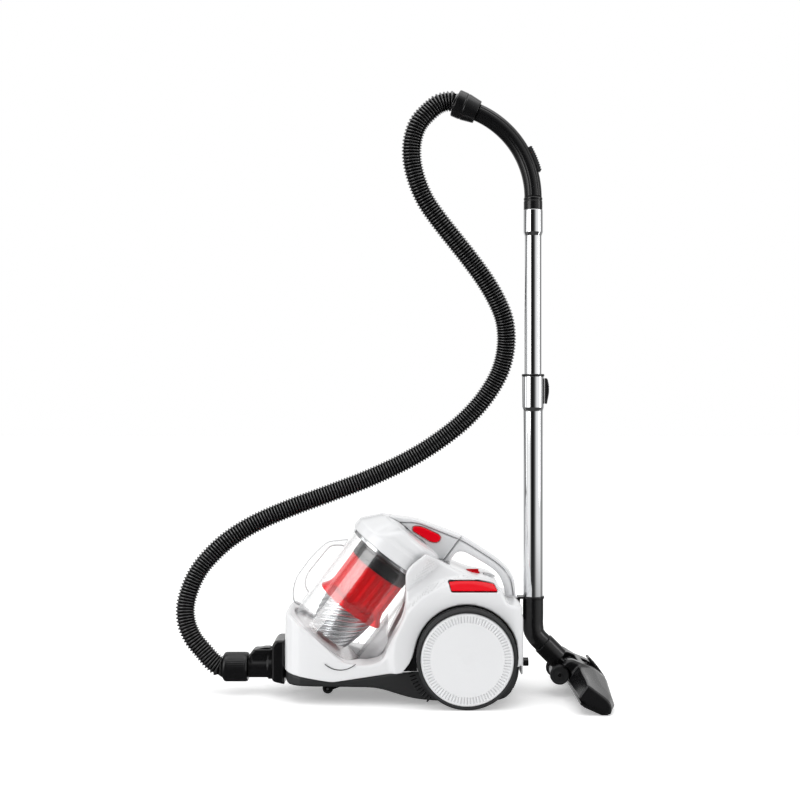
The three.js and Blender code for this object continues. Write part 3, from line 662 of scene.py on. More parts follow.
def bin_hollow(x, y, z):
    """The room that the bin, its lid and its rear duct slide into."""
    rear, up = bin_frame(x, z)
    ring = np.hypot(rear, y)
    cup = both(ring - 74.6, -96.5 - up, 4)
    top = both(ring - 84.6, 84 - up, 2)
    duct = both(both(np.abs(y) - 36.5, rear - 93, 2), both(-rear, -96.5 - up, 2), 2)
    return np.minimum(np.minimum(cup, top), duct)


def wheel_well(x, y, z):
    return np.maximum(np.hypot(x - AXLE[0], z - AXLE[1]) - WELL_R - 0.4, 89 - np.abs(y))


def shell_block(x, y, z):
    side = (np.abs(y) - half_width(x, z)) / 1.04
    return both(both(polygon(SIDE, x, z), side, 6), polygon(PLAN, x, y), 5)


def shell_field(x, y, z):
    block = shell_block(x, y, z)
    cavity = both(both(block + 4, 4 - bin_hollow(x, y, z), 2), 4 - wheel_well(x, y, z), 2)
    floor = polygon([(-58, 30), (-52, 62), (150, 62), (184, 66), (184, 30)], x, z)
    cavity = np.minimum(cavity, both(floor, np.abs(y) - 80, 2))
    wand = both(np.hypot(x - WAND_X, y) - 19.6, 60 - z, 1)
    park_slot = both(both(183.6 - x, np.abs(y) - 12.6, 0.8), both(130 - z, z - 175, 0.8), 0.8)
    pedal_travel = np.minimum(polygon(PEDAL, x, z), polygon(PEDAL, x, z + 1.7))
    handle_foot = both(both(50.2 - x, x - 72, 0.5), both(np.abs(y) - 16.5, 233 - z, 0.5), 0.5)
    dial = np.hypot((x - 106.9) * 0.985 - (z - 214.5) * 0.17, y) - 13.1
    gauge = both(both(126.2 - x, x - 147, 0.6), both(np.abs(y) - 10.9, 206.4 - z, 0.6), 0.6)
    cord = np.hypot(y - CORD_HOLE[0], z - CORD_HOLE[1]) - 6.4
    axle = np.hypot(x - AXLE[0], z - AXLE[1]) - 6.4
    openings = [
        (cavity, 1),
        (bin_hollow(x, y, z), 2.2),
        (wheel_well(x, y, z), 1.6),
        (both(polygon(BRIDGE_RUN, x, z), np.abs(y) - 22.5, 3), 2),
        (wand, 1),
        (park_slot, 0.8),
        (both(pedal_travel - 0.6, 68.6 - np.abs(y), 1), 0.5),
        (both(polygon(ARCH_CORNER, x, z), 89 - np.abs(y), 0.5), 1),
        (handle_foot, 0.6),
        (both(dial, 210.2 - z, 0.6), 0.6),
        (gauge, 0.6),
        (both(cord, 176 - x, 0.6), 0.6),
        (both(axle, 80 - np.abs(y), 0.6), 0.6),
    ]
    body = block
    for opening, edge in openings:
        body = less(body, opening, edge)
    return body


CHASSIS_SIDE = rounded([
    (-222, 30, 10), (-62, 30, 20), (0, 11, 20), (40, 7.5, 10), (150, 7.5, 22), (168, 20, 14), (184, 50, 10),
    (184, 65.7, 3), (110, 58.3), (-10, 57.7, 10), (-138, 38.3, 10), (-222, 51.3, 2),
])
CHASSIS_PLAN = rounded([
    (-222, -77, 44), (-60, -86, 40), (165, -86, 30), (184, -72, 22),
    (184, 72, 22), (165, 86, 30), (-60, 86, 40), (-222, 77, 44),
])


def chassis_field(x, y, z):
    body = both(polygon(CHASSIS_SIDE, x, z), polygon(CHASSIS_PLAN, x, y), 4)
    well = both(polygon([(-8, 14), (172, 14), (172, 80), (-8, 80)], x, z), np.abs(y) - 78, 3)
    body = less(body, well, 1)
    body = less(body, both(np.hypot(y, z - INLET_Z) - 20.2, x + 150, 1), 1)
    body = less(body, both(np.hypot(x - CASTER_X, y) - 5.3, z - 37.4, 0.5), 0.6)
    body = less(body, both(np.hypot(y - CORD_HOLE[0], z - CORD_HOLE[1]) - 6.5, 176 - x, 0.6), 0.6)
    return less(body, wheel_well(x, y, z), 1.5)


def make_canister():
    shell = field_mesh("body_shell_moulded", shell_field, (-225, -100, 36), (192, 100, 260), 2.0, WHITE)
    place(shell, "canister", "gloss_white", "body_shell")
    base = field_mesh("chassis_moulded", chassis_field, (-223, -88, 6), (186, 88, 69), 2.0, DARK_GREY)
    place(base, "canister", "dark_grey", "chassis_base")
    for side in TAGS:
        make_vents(side)
        make_cradle_recess_shade(side)


def make_cradle_recess_shade(side):
    """A thin dark-grey line of painted shade on the shell, where a short curved finger recess in the lip of
    the bin cradle lies below the bin's lowest point.
    """
    turn = np.radians(np.linspace(228, 312, 60))
    x, z = -124 + 39 * np.cos(turn), 100 + 39 * np.sin(turn)
    line = np.stack([x, side * (half_width(x, z) + 0.1), z], 1)
    # Painted shade: a dark line drawn on the shell where the finger recess's shade falls.
    seam = sweep(f"cradle_recess_shade_{TAGS[side]}", line, turn, lambda t: 0.7 + 0 * t, 0.2, DARK_GREY, segments=10)
    place(seam, "canister", "dark_grey")


LOUVRES = 13


def make_vents(side):
    """A row of small louvres follows the wheel arch down the side of the chassis."""
    verts, faces = [], []
    for k in range(LOUVRES):
        angle = math.radians(186 + 3.6 * k)
        centre = np.array([AXLE[0] + 97.5 * math.cos(angle), 0, AXLE[1] + 97.5 * math.sin(angle)])
        out = np.array([math.cos(angle), 0, math.sin(angle)])
        along = np.array([-out[2], 0, out[0]])
        add_box(verts, faces, [centre + out * u * (5.5 - inset) + along * v * (1.6 - inset)
                               + np.array([0, side * y, 0])
                               for inset, y in ((0.0, 85.2), (0.5, 86.6))
                               for u, v in ((-1, -1), (1, -1), (1, 1), (-1, 1))])
    vents = tidy_mesh(mesh_object(f"side_vents_{TAGS[side]}", verts, faces, BLACK))
    bevel(vents, 0.0004)
    place(vents, "canister", "black_plastic")


def bevel(obj, width, angle=30):
    """Rounds the edges that are sharper than the angle."""
    edge = obj.modifiers.new("soft_edges", "BEVEL")
    edge.width = width
    edge.segments = 2
    edge.limit_method = "ANGLE"
    edge.angle_limit = math.radians(angle)
    edge.harden_normals = True


# ---- deck controls and carry handle ----
def make_deck():
    def pedal_field(side):
        def field(x, y, z):
            s = y * side
            skin = (s - half_width(x, z) - 0.2) / 1.04
            face = both(polygon(PEDAL, x, z), skin, 1.2)
            return both(face, 74.5 - s, 1)
        return field

    for side, name, body in ((-1, "power_pedal", "power_switch"), (1, "rewind_pedal", "rewind_switch")):
        low, high = sorted((side * 73, side * 92))
        pedal = field_mesh(name + "_moulded", pedal_field(side), (58, low, 192), (147, high, 214), 1.0, RED)
        place(pedal, body, "gloss_red", name)

    handle_side = rounded([
        (82, 273.8, 1), (95, 267, 14), (152.1, 231.3, 34), (173, 208, 20), (177.9, 172.9),
        (164.6, 172.9), (163, 190, 18), (149.4, 217.9, 22), (91, 252.7, 14), (76, 251, 9), (65.4, 233.4),
        (51.6, 233.4), (56.6, 240),
    ])
    handle = field_mesh(
        "carry_handle_moulded", lambda x, y, z: both(polygon(handle_side, x, z), np.abs(y) - 16, 6),
        (49, -17, 172), (179, 17, 276), 1.2, WHITE)
    place(handle, "canister", "gloss_white", "carry_handle")
    cover_side = rounded([
        (86.8, 279.8, 1), (98, 273.2, 14), (153.6, 237.4, 34), (178.4, 212.6, 22), (182.3, 172.8),
        (178.5, 172.8), (173.6, 208.4, 20), (152.4, 231.9, 34), (95.2, 267.8, 14), (82.8, 274.4, 0.5),
    ])
    cover = field_mesh(
        "handle_cover_moulded", lambda x, y, z: both(polygon(cover_side, x, z), np.abs(y) - 17, 3),
        (78, -18, 172), (183, 18, 281), 1.1, WHITE)
    place(cover, "canister", "gloss_white", "handle_cover")


# ---- wheels ----
SLOTS = 84


def make_wheels():
    def hub_shift(a, r, h):
        front = soft_step(h, 20, 24)
        ring = soft_step(r, 62, 63.4) * (1 - soft_step(r, 72.8, 74.2))
        bars = soft_step(np.cos(SLOTS * a), -0.05, 0.45)
        return 0, -1.7 * front * ring * bars

    for side, tag in TAGS.items():
        at = (AXLE[0], side * 91, AXLE[1])
        face = [(0, 25.6), (8, 25.8), (15, 26.7), (19, 27.5), (24, 27.6), (60, 27.6)]
        face += [(60 + k, 27.5) for k in range(1, 15)]
        back = [(76, 27.2), (78.3, 25.4), (78.3, 2), (74.5, 2), (74.5, 19), (72, 22), (12, 22), (12, 2),
                (6.6, 2), (6.6, 12), (0, 12)]
        hub = lathe(f"wheel_disc_{tag}", face + back, at, (0, side, 0), WHITE, segments=SLOTS * 8,
                    rounding=1.2, closed=False, shift=hub_shift)
        place(hub, f"drive_wheel_{tag}", "gloss_white", f"wheel_hub_{tag}")
        tread = [(78.9, 0.5), (80.5, 0.5), (83.7, 3)]
        for k in range(5):
            start = 4.5 + k * 4.1
            tread += [(84.5, start), (84.5, start + 2.6), (83.5, start + 3.0), (83.5, start + 3.7)]
        tread += [(84.4, 24.6), (83, 27), (81.4, 28), (79.8, 27.6), (78.9, 26.2)]
        tyre = lathe(f"tyre_treaded_{tag}", tread, at, (0, side, 0), RUBBER, segments=144, rounding=0.5)
        place(tyre, f"drive_wheel_{tag}", "tyre_rubber", f"tyre_{tag}")


# ---- dust bin ----
def bin_lathe(name, profile, mat, **options):
    return lathe(name, profile, BIN_AT, BIN_AXIS, mat, **options)


def make_bin():
    cup = bin_lathe("bin_cup_clear", [
        (69.8, -90), (72, -90), (72, 70), (73, 71), (73, 84), (75.5, 86), (75.5, 90), (69.8, 90),
    ], CLEAR, segments=128, rounding=1)
    place(cup, "dust_bin", "clear_plastic", "bin_cup")
    # The bin door's whitened clear moulding is painted reflection.
    door = bin_lathe("bin_door_clear", [
        (0, -93.3), (40, -93.3), (42, -92.6), (64, -92.6), (70, -92.6), (71.8, -91.6), (71.8, -90.5),
        (0, -90.5),
    ], CLEAR_WHITENED, segments=128, rounding=0.5, closed=False)
    place(door, "dust_bin", "clear_plastic", "bin_door")
    loop = rounded([
        (-111, 273, 8), (-151.8, 269, 10), (-179.5, 243, 9), (-207.2, 206, 12), (-214, 178, 12),
        (-211, 160, 6), (-190, 150), (-182, 176), (-189, 186, 6), (-190.3, 197, 8), (-185.7, 212.2, 9),
        (-145.5, 261.5, 9), (-124, 261.5, 6), (-118, 254), (-100, 262),
    ])

    def handle_field(x, y, z):
        rear, up = bin_frame(x, z)
        body = both(polygon(loop, x, z), np.abs(y) - 9, 4.5)
        ring = np.hypot(rear, y)
        body = less(body, ring - 73.4, 0.5)
        return less(body, both(ring - 76.4, 85.4 - up, 0.5), 0.5)

    handle = field_mesh("bin_handle_clear", handle_field, (-215, -10, 150), (-108, 10, 274), 1.0, CLEAR_EDGED)
    place(handle, "dust_bin", "clear_plastic", "bin_handle")
    rim = bin_lathe("rim_ring_polished", [
        (70, 90.3), (76.4, 90.3), (77, 91.2), (77, 93), (75.8, 93.6), (77, 94.2), (77, 96), (76.4, 96.6),
        (70, 96.6),
    ], CHROME, segments=128, rounding=0.4)
    place(rim, "lid", "chrome_tube", "rim_ring")


CORE_BARS = 14
BAR_ENDS = [(32.4, 36.6, -6), (36.2, 41.4, 54)]
FLUTES = 14


def make_cyclone():
    band = bin_lathe("shroud_band_ribbed", [
        (44, 60.4), (54.4, 60.4), (55, 61.2), (55, 70), (54, 71), (55, 72), (55, 87), (60, 88.6),
        (68.8, 89.6), (68.8, 96.4), (44, 96.4),
    ], BLACK, rounding=0.6)
    place(band, "lid", "black_plastic", "shroud_band")
    shroud = bin_lathe("cyclone_shroud_clear", [
        (51.6, 0), (54.6, -10), (61.4, -20), (63.8, -21), (64.4, -18.4), (57, -8), (54, 2), (54, 60),
        (51.6, 60),
    ], CLEAR_RED, segments=128, rounding=1.6)
    place(shroud, "lid", "clear_red", "cyclone_shroud")

    # The dark red core is painted shade behind the pale, painted-lit bars.
    core = bin_lathe("cyclone_core_inner", [(30, -12), (32, -12), (36, 58), (37, 60), (34, 60)], CORE_SHADE_RED,
                     rounding=0.5)
    place(core, "lid", "clear_red", "cyclone_core")
    verts, faces = [], []
    forward, sideways, upward = frame_along(BIN_AXIS)
    for k in range(CORE_BARS):
        angle = 2 * math.pi * k / CORE_BARS
        out = forward * math.cos(angle) + sideways * math.sin(angle)
        along = np.cross(upward, out)
        add_box(verts, faces, [BIN_AT + out * r + along * w + upward * h
                               for inner, outer, h in BAR_ENDS
                               for r, w in ((inner, -3), (outer, -3), (outer, 3), (inner, 3))])
    bars = tidy_mesh(mesh_object("cyclone_core_bars", verts, faces, BAR_LIT_RED))
    bevel(bars, 0.0005)
    place(bars, "lid", "clear_red")

    def flutes(a, r, h):
        twist = a * FLUTES - (h + 18) * 0.56
        depth = soft_step(-h, 16, 22) * soft_step(r, 35, 36.5)
        return -3.6 * depth * (0.5 + 0.5 * np.cos(twist)) ** 2.2, 0

    outer = [(49.6 - 12.4 * (k / 66) ** 1.7, -18 - k) for k in range(67)]
    cone_line = [(46, -12), (49, -12)] + outer + [(33, -84), (42, -50), (44.5, -22)]
    cone = bin_lathe("cyclone_cone_fluted", cone_line, SILVER, segments=240, rounding=0.3, shift=flutes)
    place(cone, "lid", "silver_plastic", "cyclone_cone")


DRUM = [(0, 150), (60, 149), (70, 147), (74.5, 144), (78, 137), (80, 127), (80.9, 116), (81, 104)]
DOME = [(0, 152), (18, 151.9), (32, 151.3), (42, 149.6), (50, 147), (53, 145.4), (55.6, 142.8), (78.6, 117),
        (80.3, 113.4), (81, 104), (81, 99), (80, 97.2)]
LID_INSIDE = [(77.6, 97.2), (77.2, 110), (72, 118.4), (55, 137.6), (48, 141.8), (30, 147), (0, 147.5)]
DOME_STEPS = 9


def make_lid():
    def fuller_rear(a, r, h):
        """The lid is chamfered at the front and a flat-topped drum beside and behind the bridge."""
        rear_half = soft_step(-np.sin(a), -0.6, -0.1)
        lift = np.interp(r, *zip(*DRUM)) - np.interp(r, *zip(*[point for point in DOME if point[1] > 103]))
        seam = np.exp(-((h - 114.5) / 1.3) ** 2) * soft_step(-np.sin(a), -0.5, 0.1) * soft_step(r, 78, 79)
        return -2.2 * seam, rear_half * soft_step(h, 104, 118) * lift

    line = []
    for start, end in zip(DOME, DOME[1:]):
        for k in range(DOME_STEPS):
            line.append(tuple(s + (e - s) * k / DOME_STEPS for s, e in zip(start, end)))
    line += [DOME[-1]] + LID_INSIDE
    lid = bin_lathe("bin_lid_moulded", line, WHITE, segments=192, rounding=0.4, closed=False,
                    shift=fuller_rear)
    place(lid, "lid", "gloss_white", "bin_lid")

    dome = [(0, 90), (81.5, 90), (81.5, 112), (76.8, 124.2), (66.5, 137.5), (50.4, 147.5), (32, 152.1),
            (0, 152.8)]
    dome += [(-r, h) for r, h in reversed(dome[1:-1])]

    def lid_top(x, y, z):
        rear, up = bin_frame(x, z)
        return polygon(dome, np.hypot(rear, y), up)

    bridge_side = rounded([
        (-52, 305), (8, 303.7, 12), (81.2, 274.6, 1), (53.6, 237.6, 2), (22, 240, 2), (-20, 240),
    ])
    button_side = rounded([
        (-0.6, 290.2, 4), (0.4, 297.6, 4), (15, 297.6, 8), (47.2, 282.6, 6), (49.4, 276.6, 4),
        (44.4, 269.6, 4), (32.6, 269.6, 8),
    ])

    def bridge_field(x, y, z):
        body = both(polygon(bridge_side, x, z), np.abs(y) - 20, 5)
        body = less(body, lid_top(x, y, z), 0.6)
        return less(body, both(polygon(button_side, x, z) - 0.8, y + 15.4, 0.6), 0.5)

    bridge = field_mesh("lid_bridge_moulded", bridge_field, (-53, -21, 236), (83, 21, 306), 1.2, LIGHT_GREY)
    place(bridge, "lid", "light_grey", "lid_bridge")
    cover_side = rounded([
        (-52, 316), (-36, 315.2, 8), (8.3, 309.2, 16), (85.6, 280.2, 1), (81.8, 275.4), (8, 304.6, 14),
        (-52, 306),
    ])
    cover = field_mesh(
        "bridge_cover_moulded",
        lambda x, y, z: less(both(polygon(cover_side, x, z), np.abs(y) - 21, 2.2), lid_top(x, y, z), 0.6),
        (-53, -22, 274), (87, 22, 317), 1.0, WHITE)
    place(cover, "lid", "gloss_white", "bridge_cover")
    button = field_mesh(
        "release_button_moulded",
        lambda x, y, z: both(both(polygon(button_side, x, z), -23.5 - y, 2), y + 19.2, 0.6),
        (-3, -25, 268), (51, -18, 300), 0.8, RED)
    place(button, "bin_release", "gloss_red", "release_button")


# ---- inlet fittings ----
CUFF_RIBS = 48


def make_inlet():
    block_side = rounded([(-247, 27, 7), (-224.6, 22, 2), (-224.6, 99, 2), (-240, 99, 5), (-247, 90, 5)])

    def port_field(x, y, z):
        block = both(polygon(block_side, x, z), np.abs(y) - 34, 5)
        throat = both(np.hypot(y, z - INLET_Z) - 19.5, both(-240 - x, x + 160, 0.6), 0.6)
        return less(either(block, throat, 1), np.hypot(y, z - INLET_Z) - 18, 0.6)

    port = field_mesh("inlet_port_moulded", port_field, (-248, -35, 20), (-159, 35, 100), 1.4, BLACK)
    place(port, "canister", "black_plastic", "inlet_port")

    housing_side = rounded([(-291, 44, 3), (-291, 67, 3), (-280.5, 79.4, 4), (-248, 80, 1), (-248, 40, 1)])

    def connector_field(x, y, z):
        ring = np.hypot(y, z - INLET_Z)
        spigot = both(ring - 16.6, both(-303 - x, x + 219, 0.5), 0.5)
        barrel = both(ring - 18.8, both(-291.3 - x, x + 247.8, 1), 1)
        collar = both(ring - 21.5, both(-256 - x, x + 247.8, 1), 1)
        housing = both(polygon(housing_side, x, z), np.abs(y) - 15, 3)
        panel = both(both(-284 - x, x + 256, 1), both(45.5 - z, z - 70.5, 1), 1)
        housing = less(housing, both(panel, 13.6 - np.abs(y), 0.4), 0.4)
        body = either(either(either(spigot, barrel, 0.6), collar, 0.8), housing, 2)
        pocket = both(both(np.abs(y) - 9.6, 71.9 - z, 0.6), both(-284 - x, x + 251.2, 0.6), 0.6)
        return less(less(body, pocket, 0.5), ring - 14.5, 0.5)

    connector = field_mesh("hose_connector_moulded", connector_field, (-304, -23, 22), (-218, 23, 82), 1.0,
                           BLACK)
    place(connector, "canister", "black_plastic", "hose_connector")

    def cuff_ribs(a, r, h):
        band = soft_step(h, 8, 10) * (1 - soft_step(h, 38, 40)) * soft_step(r, 24, 25.5)
        return -0.5 * band * soft_step(np.cos(CUFF_RIBS * a), 0.2, 0.7), 0

    wall = [(25.9, 5 + 2 * k) for k in range(19)]
    line = [(17, 0), (21.6, 0), (25.2, 3)] + wall + [(24.4, 44.2), (17, 44.2)]
    cuff = lathe("hose_cuff_ribbed", line, (-336, 0, INLET_Z), (1, 0, 0), BLACK, segments=240, rounding=0.6,
                 shift=cuff_ribs)
    place(cuff, "inlet_cuff", "black_plastic", "hose_cuff")


# ---- wand and grip ----
def grip_point(angle, radius=GRIP_R):
    return np.array([GRIP_AT[0] + radius * math.cos(angle), 0, GRIP_AT[1] + radius * math.sin(angle)])


def make_grip():
    end = grip_point(GRIP_END)
    along = np.array([math.sin(GRIP_END), 0, -math.cos(GRIP_END)])
    cuff = lathe("handle_cuff_moulded", [
        (15.8, 0), (22.6, 0), (24.2, 1.6), (24.2, 16), (23.4, 17), (23.4, 18.4), (24, 19.4), (20.6, 41),
        (20.2, 42.8), (15.8, 42.8),
    ], end - 43.2 * along, along, BLACK, rounding=0.8)
    place(cuff, "grip_cuff", "black_plastic", "handle_cuff")

    angles = np.linspace(GRIP_END, 0, 90)
    line = np.array([grip_point(a) for a in angles])
    at = (GRIP_END - angles) * GRIP_R

    def section(angle):
        """Two shallow grooves run along each side of the grip."""
        groove = np.zeros_like(angle)
        for centre in (0.5, math.pi - 0.5, math.pi + 0.42, 2 * math.pi - 0.42):
            away = np.abs((angle - centre + math.pi) % (2 * math.pi) - math.pi)
            groove += np.exp(-(away / 0.06) ** 2)
        return 1 - 0.055 * groove

    grip = sweep("handle_grip_moulded", line, at, lambda s: 15.4 + 0 * s, 12.5, BLACK, segments=160,
                 section=section)
    place(grip, "wand_upper", "black_plastic", "handle_grip")

    def slider_field(x, y, z):
        reach = np.hypot(x - GRIP_AT[0], z - GRIP_AT[1])
        turn = np.arctan2(z - GRIP_AT[1], x - GRIP_AT[0])
        arc = (turn - math.radians(22)) * 180
        body = both(both(np.abs(reach - 182.2) - 3.9, np.abs(arc) - 23.5, 2.4), np.abs(y) - 8, 2)
        teeth = 185.4 - reach + 1.1 * np.cos(arc * 2 * math.pi / 4.2)
        return both(body, -teeth, 0.4)

    slider = field_mesh("bleed_slider_ribbed", slider_field, (200, -9, 920), (238, 9, 976), 0.8, DARK_GREY)
    place(slider, "air_bleed", "dark_grey", "bleed_slider")
    collar = lathe("grip_collar_moulded", [
        (12.5, 0), (16.4, 0), (16.6, 1), (16.6, 15), (16, 16), (16, 17.4), (16.6, 18.4), (16.6, 21),
        (15.8, 22.4), (12.5, 22.4),
    ], (WAND_X, 0, 857.3), UP, BLACK, rounding=0.6)
    place(collar, "wand_upper", "black_plastic", "grip_collar")


NOTCH_PITCH = 12


def make_wand():
    def notches(a, r, h):
        row = soft_step(np.cos(2 * math.pi * h / NOTCH_PITCH), 0.55, 0.9)
        reach = soft_step(h, 590, 592) * (1 - soft_step(h, 800, 802)) * soft_step(r, 14.9, 15.0)
        rear = soft_step(np.cos(a - 0.5 * math.pi), 0.965, 0.99)
        return -0.9 * row * reach * rear, 0

    line = [(14.2, 430)] + [(15.1, 430 + 1.5 * k) for k in range(254)]
    line += [(15.1, 811), (17.5, 817.5), (17.5, 856), (17.2, 857), (16.7, 857), (16.7, 818), (14.2, 811)]
    upper = lathe("upper_tube_chrome", line, (WAND_X, 0, 0), UP, CHROME, segments=120, rounding=0.3,
                  shift=notches)
    place(upper, "wand_upper", "chrome_tube", "upper_tube")
    lower = lathe("lower_tube_chrome", [
        (16.7, 172.4), (17.5, 172.4), (17.5, 500), (18.2, 503), (19.4, 507), (19.4, 561.5), (18.5, 561.5),
        (18.5, 507), (16.7, 501),
    ], (WAND_X, 0, 0), UP, CHROME, rounding=1)
    place(lower, "wand_lower", "chrome_tube", "lower_tube")
    ring = lathe("tube_ring_moulded", [
        (15.5, 545), (18, 545), (18, 561.9), (19.8, 561.9), (20, 562.4), (20, 565.4), (19.2, 566),
        (15.5, 566),
    ], (WAND_X, 0, 0), UP, BLACK, rounding=0.5)
    place(ring, "wand_lower", "black_plastic", "tube_ring")
    side = rounded([
        (234.4, 514), (238, 512.4, 2), (241.5, 530, 8), (243.1, 541, 6), (239, 558.8, 4), (234.4, 558.8),
    ])

    def button_field(x, y, z):
        body = both(polygon(side, x, z), np.abs(y) - 7.4, 2.2)
        teeth = x - 241.8 - 0.7 * np.cos((z - 512) * 2 * math.pi / 4.0) * soft_step(z, 540, 544)
        return both(body, teeth, 0.3)

    button = field_mesh("lock_button_ribbed", button_field, (233, -8.5, 511), (245, 8.5, 560), 0.7, BLACK)
    place(button, "tube_lock", "black_plastic", "lock_button")


# ---- floor nozzle ----
SWIVEL_FROM = np.array([231.9, 0, 88.2])
SWIVEL_AXIS = np.array([math.sqrt(0.5), 0, -math.sqrt(0.5)])


def make_neck():
    route = [(WAND_X, 0, 171.4), (WAND_X, 0, 140), (WAND_X, 0, 120), (216.2, 0, 107.6), (222.4, 0, 97.7),
             (231.6, 0, 88.5)]
    line, at = resample(centripetal(route), 1.5)
    neck = sweep("nozzle_neck_moulded", line, at, lambda s: 18.3 - 0.9 * soft_step(s, 58, 72), 15.7, BLACK,
                 segments=72)
    place(neck, "wand_lower", "black_plastic", "nozzle_neck")
    flange = lathe("neck_flange", [
        (15.7, 167.6), (19.2, 167.6), (20, 168.4), (20, 171.2), (19.4, 172), (15.7, 172),
    ], (WAND_X, 0, 0), UP, BLACK, rounding=0.5)
    place(flange, "wand_lower", "black_plastic")

    def hook_field(x, y, z):
        top = both(both(np.abs(x - 196.5) - 10.2, np.abs(z - 170) - 1.9, 0.8), np.abs(y) - 11, 1)
        tongue = both(both(np.abs(x - 188) - 1.9, np.abs(z - 152) - 18, 0.8), np.abs(y) - 11, 1)
        return less(either(top, tongue, 1.5), np.hypot(x - WAND_X, y) - 18, 0.3)

    hook = field_mesh("park_hook", hook_field, (185, -12, 133), (208, 12, 173), 0.8, BLACK)
    place(hook, "wand_lower", "black_plastic")


def make_yoke():
    def yoke_field(x, y, z):
        dx, dz = x - SWIVEL_FROM[0], z - SWIVEL_FROM[2]
        along = dx * SWIVEL_AXIS[0] + dz * SWIVEL_AXIS[2]
        across = dx * SWIVEL_AXIS[2] - dz * SWIVEL_AXIS[0]
        ring = np.hypot(across, y)
        collar = both(both(ring - 19.4, 15.9 - ring, 1), both(-along, along - 37.4, 1), 1)
        drum = both(cylinder(x, z, y, *PIVOT, 13.4), np.abs(y) - 19.6, 1)
        web = both(polygon([(247, 46), (268, 44), (272, 56), (262, 64), (249, 60)], x, z), np.abs(y) - 14, 2)
        web = less(web, both(ring - 15.9, along - 38, 0.5), 0.5)
        pins = both(cylinder(x, z, y, *PIVOT, 3), np.abs(y) - 31.4, 0.6)
        return either(either(either(collar, drum, 3), web, 3), pins, 0.4)

    yoke = field_mesh("swivel_yoke_moulded", yoke_field, (216, -32, 23), (275, 32, 104), 1.1, BLACK)
    place(yoke, "yoke", "black_plastic", "swivel_yoke")
    for side, tag in TAGS.items():
        wheel = lathe(f"nozzle_roller_{tag}", [
            (3.3, 0), (14.6, 0), (16.8, 1.6), (16.8, 6.2), (15.4, 7.8), (13, 8), (12.4, 7), (5, 7), (4.4, 8),
            (3.3, 8),
        ], (PIVOT[0], side * 24.4, PIVOT[1]), (0, side, 0), RUBBER, segments=72, rounding=0.6)
        place(wheel, f"roller_{tag}", "tyre_rubber", f"nozzle_wheel_{tag}")


# Side outlines of the head, by distance from its middle.
SECTIONS = {
    45: [(270, 31), (281.4, 19.4), (321, 1.6), (337, 1.6), (343, 12), (336, 36), (312, 54), (289, 57)],
    115: [(271, 30), (281.4, 19.4), (321, 1.6), (333, 1.6), (337.5, 8), (331, 26), (308, 43), (289, 54)],
    150: [(272, 29.4), (281.4, 19.4), (321, 1.6), (324, 1.6), (326, 16), (319, 28.5), (303, 40), (288, 52)],
}
HOOD = rounded([
    (258, 56, 3), (266, 64, 4), (277, 68, 6), (306, 56, 12), (330, 38, 12), (330, 10), (300, 12), (281, 20),
    (274, 24),
])
BRUSH_ROOM = [(284, 10), (290, 26), (303, 20.4), (297, 4)]
THROAT = [(303, 30), (316, 24), (308, 0), (295, 4)]


def lofted(x, y, z):
    """Distance to a convex bar whose side outline changes along Y."""
    stations = sorted(SECTIONS)
    corners = np.array([SECTIONS[at] for at in stations], float)
    out = np.abs(y)
    across = [[np.interp(out, stations, corners[:, k, axis]) for axis in (0, 1)]
              for k in range(corners.shape[1])]
    body = out - stations[-1]
    for (ax, az), (bx, bz) in zip(across, across[1:] + across[:1]):
        length = np.hypot(bx - ax, bz - az)
        edge = ((bz - az) * (x - ax) - (bx - ax) * (z - az)) / length
        body = both(body, edge, 3)
    return body


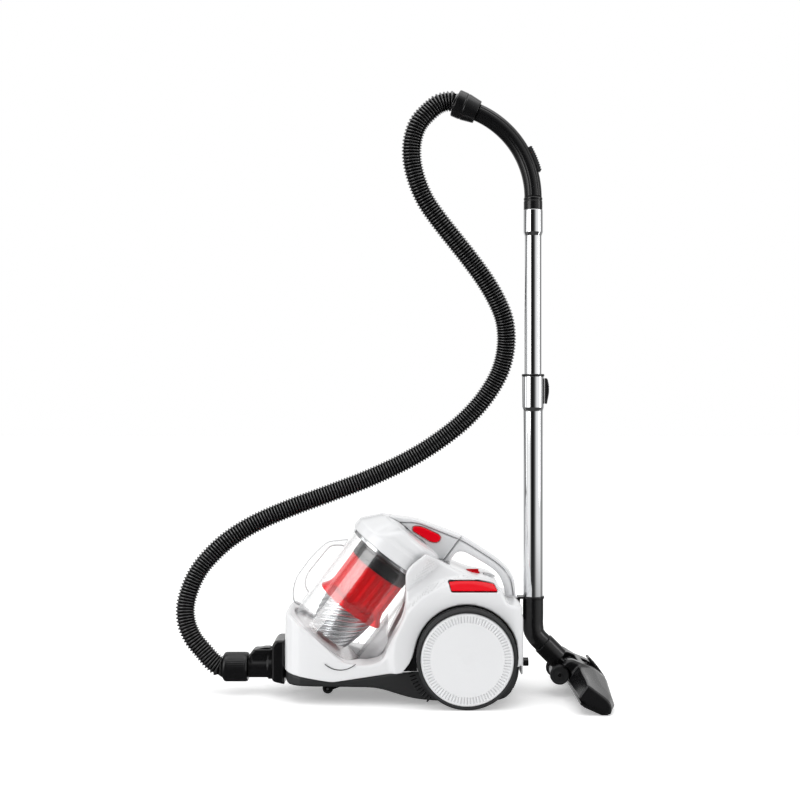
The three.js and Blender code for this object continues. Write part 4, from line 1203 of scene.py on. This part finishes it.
def head_field(x, y, z):
    bar = lofted(x, y, z)
    recess = both(lofted(x, np.minimum(np.abs(y), 149.9), z) + 4.5, 147.6 - np.abs(y), 0.6)
    bar = less(bar, recess, 0.8)
    head = either(bar, both(polygon(HOOD, x, z), np.abs(y) - 42, 6), 6)
    head = less(head, both(cylinder(x, z, y, *PIVOT, 19.6), np.abs(y) - 43, 0.5), 1)
    room = polygon([(236, 30), (257, 22), (280, 36), (292, 64), (284, 90), (240, 84)], x, z)
    head = less(head, both(room, np.abs(y) - 24, 1), 1)
    head = both(head, -polygon([(262, 22), (281, 13.5), (325, -6.2), (325, -30), (240, -30)], x, z), 1)
    for opening, reach in ((BRUSH_ROOM, 138), (THROAT, 70)):
        head = less(head, both(polygon(opening, x, z), np.abs(y) - reach, 0.6), 0.6)
    slot = both(polygon([(299, 38), (336.4, 21), (356, 60), (301, 90)], x, z), np.abs(y) - 14, 1)
    head = less(head, slot, 0.8)
    ears = polygon(rounded([(246, 38, 8), (257, 27, 8), (268, 30), (284, 30), (284, 58), (262, 50, 6)]), x, z)
    head = either(head, both(ears, np.abs(np.abs(y) - 22.15) - 1.8, 0.6), 0.8)
    return less(head, both(cylinder(x, z, y, *PIVOT, 3.3), np.abs(y) - 30, 0.2), 0.3)


def make_head():
    head = field_mesh("nozzle_head_moulded", head_field, (245, -151, 0), (346, 151, 86), 1.5, BLACK)
    place(head, "floor_head", "black_plastic", "nozzle_head")
    pedal_side = rounded([(308.5, 63, 2), (312.5, 65.5, 2), (327.5, 49, 8), (340.5, 30, 1), (335.5, 26, 1),
                          (322.3, 44.8, 8)])
    pedal = field_mesh(
        "nozzle_pedal_moulded", lambda x, y, z: both(polygon(pedal_side, x, z), np.abs(y) - 13, 1.4),
        (306, -14, 24), (343, 14, 76), 0.8, BLACK)
    place(pedal, "head_pedal", "black_plastic", "nozzle_pedal")


# ---- CAD nodes that stay ----
def dress(node, mat):
    """Gives a CAD node its material, smooth round faces and softened edges."""
    obj = nodes[node]
    obj.data.materials.clear()
    obj.data.materials.append(mat)
    obj.data.polygons.foreach_set("use_smooth", [True] * len(obj.data.polygons))
    obj.data.set_sharp_from_angle(angle=math.radians(28))
    bevel(obj, 0.0004, angle=40)


def dress_cad():
    looks = {
        "motor": STEEL, "cord_reel": BLACK, "exhaust_filter": FOAM, "cord_outlet": BLACK, "suction_dial": RED,
        "gauge_window": LIGHT_GREY, "axle_left": STEEL, "axle_right": STEEL, "arch_liner_left": BLACK,
        "arch_liner_right": BLACK, "caster_fork": BLACK, "caster_wheel": RUBBER, "caster_axle": STEEL,
        # The inner duct gets the whitened clear moulding, whose lightness is painted reflection.
        "connector_latch": BLACK, "inlet_duct": CLEAR_WHITENED, "door_latch": DARK_GREY, "door_hinge": STEEL,
        "lid_filter": FOAM, "sole_plate": BLACK, "brush_strip": DARK_GREY,
    }
    for node, mat in looks.items():
        dress(node, mat)


make_camera()
make_studio()
make_hose()
make_canister()
make_deck()
make_wheels()
make_bin()
make_cyclone()
make_lid()
make_inlet()
make_grip()
make_wand()
make_neck()
make_yoke()
make_head()
dress_cad()
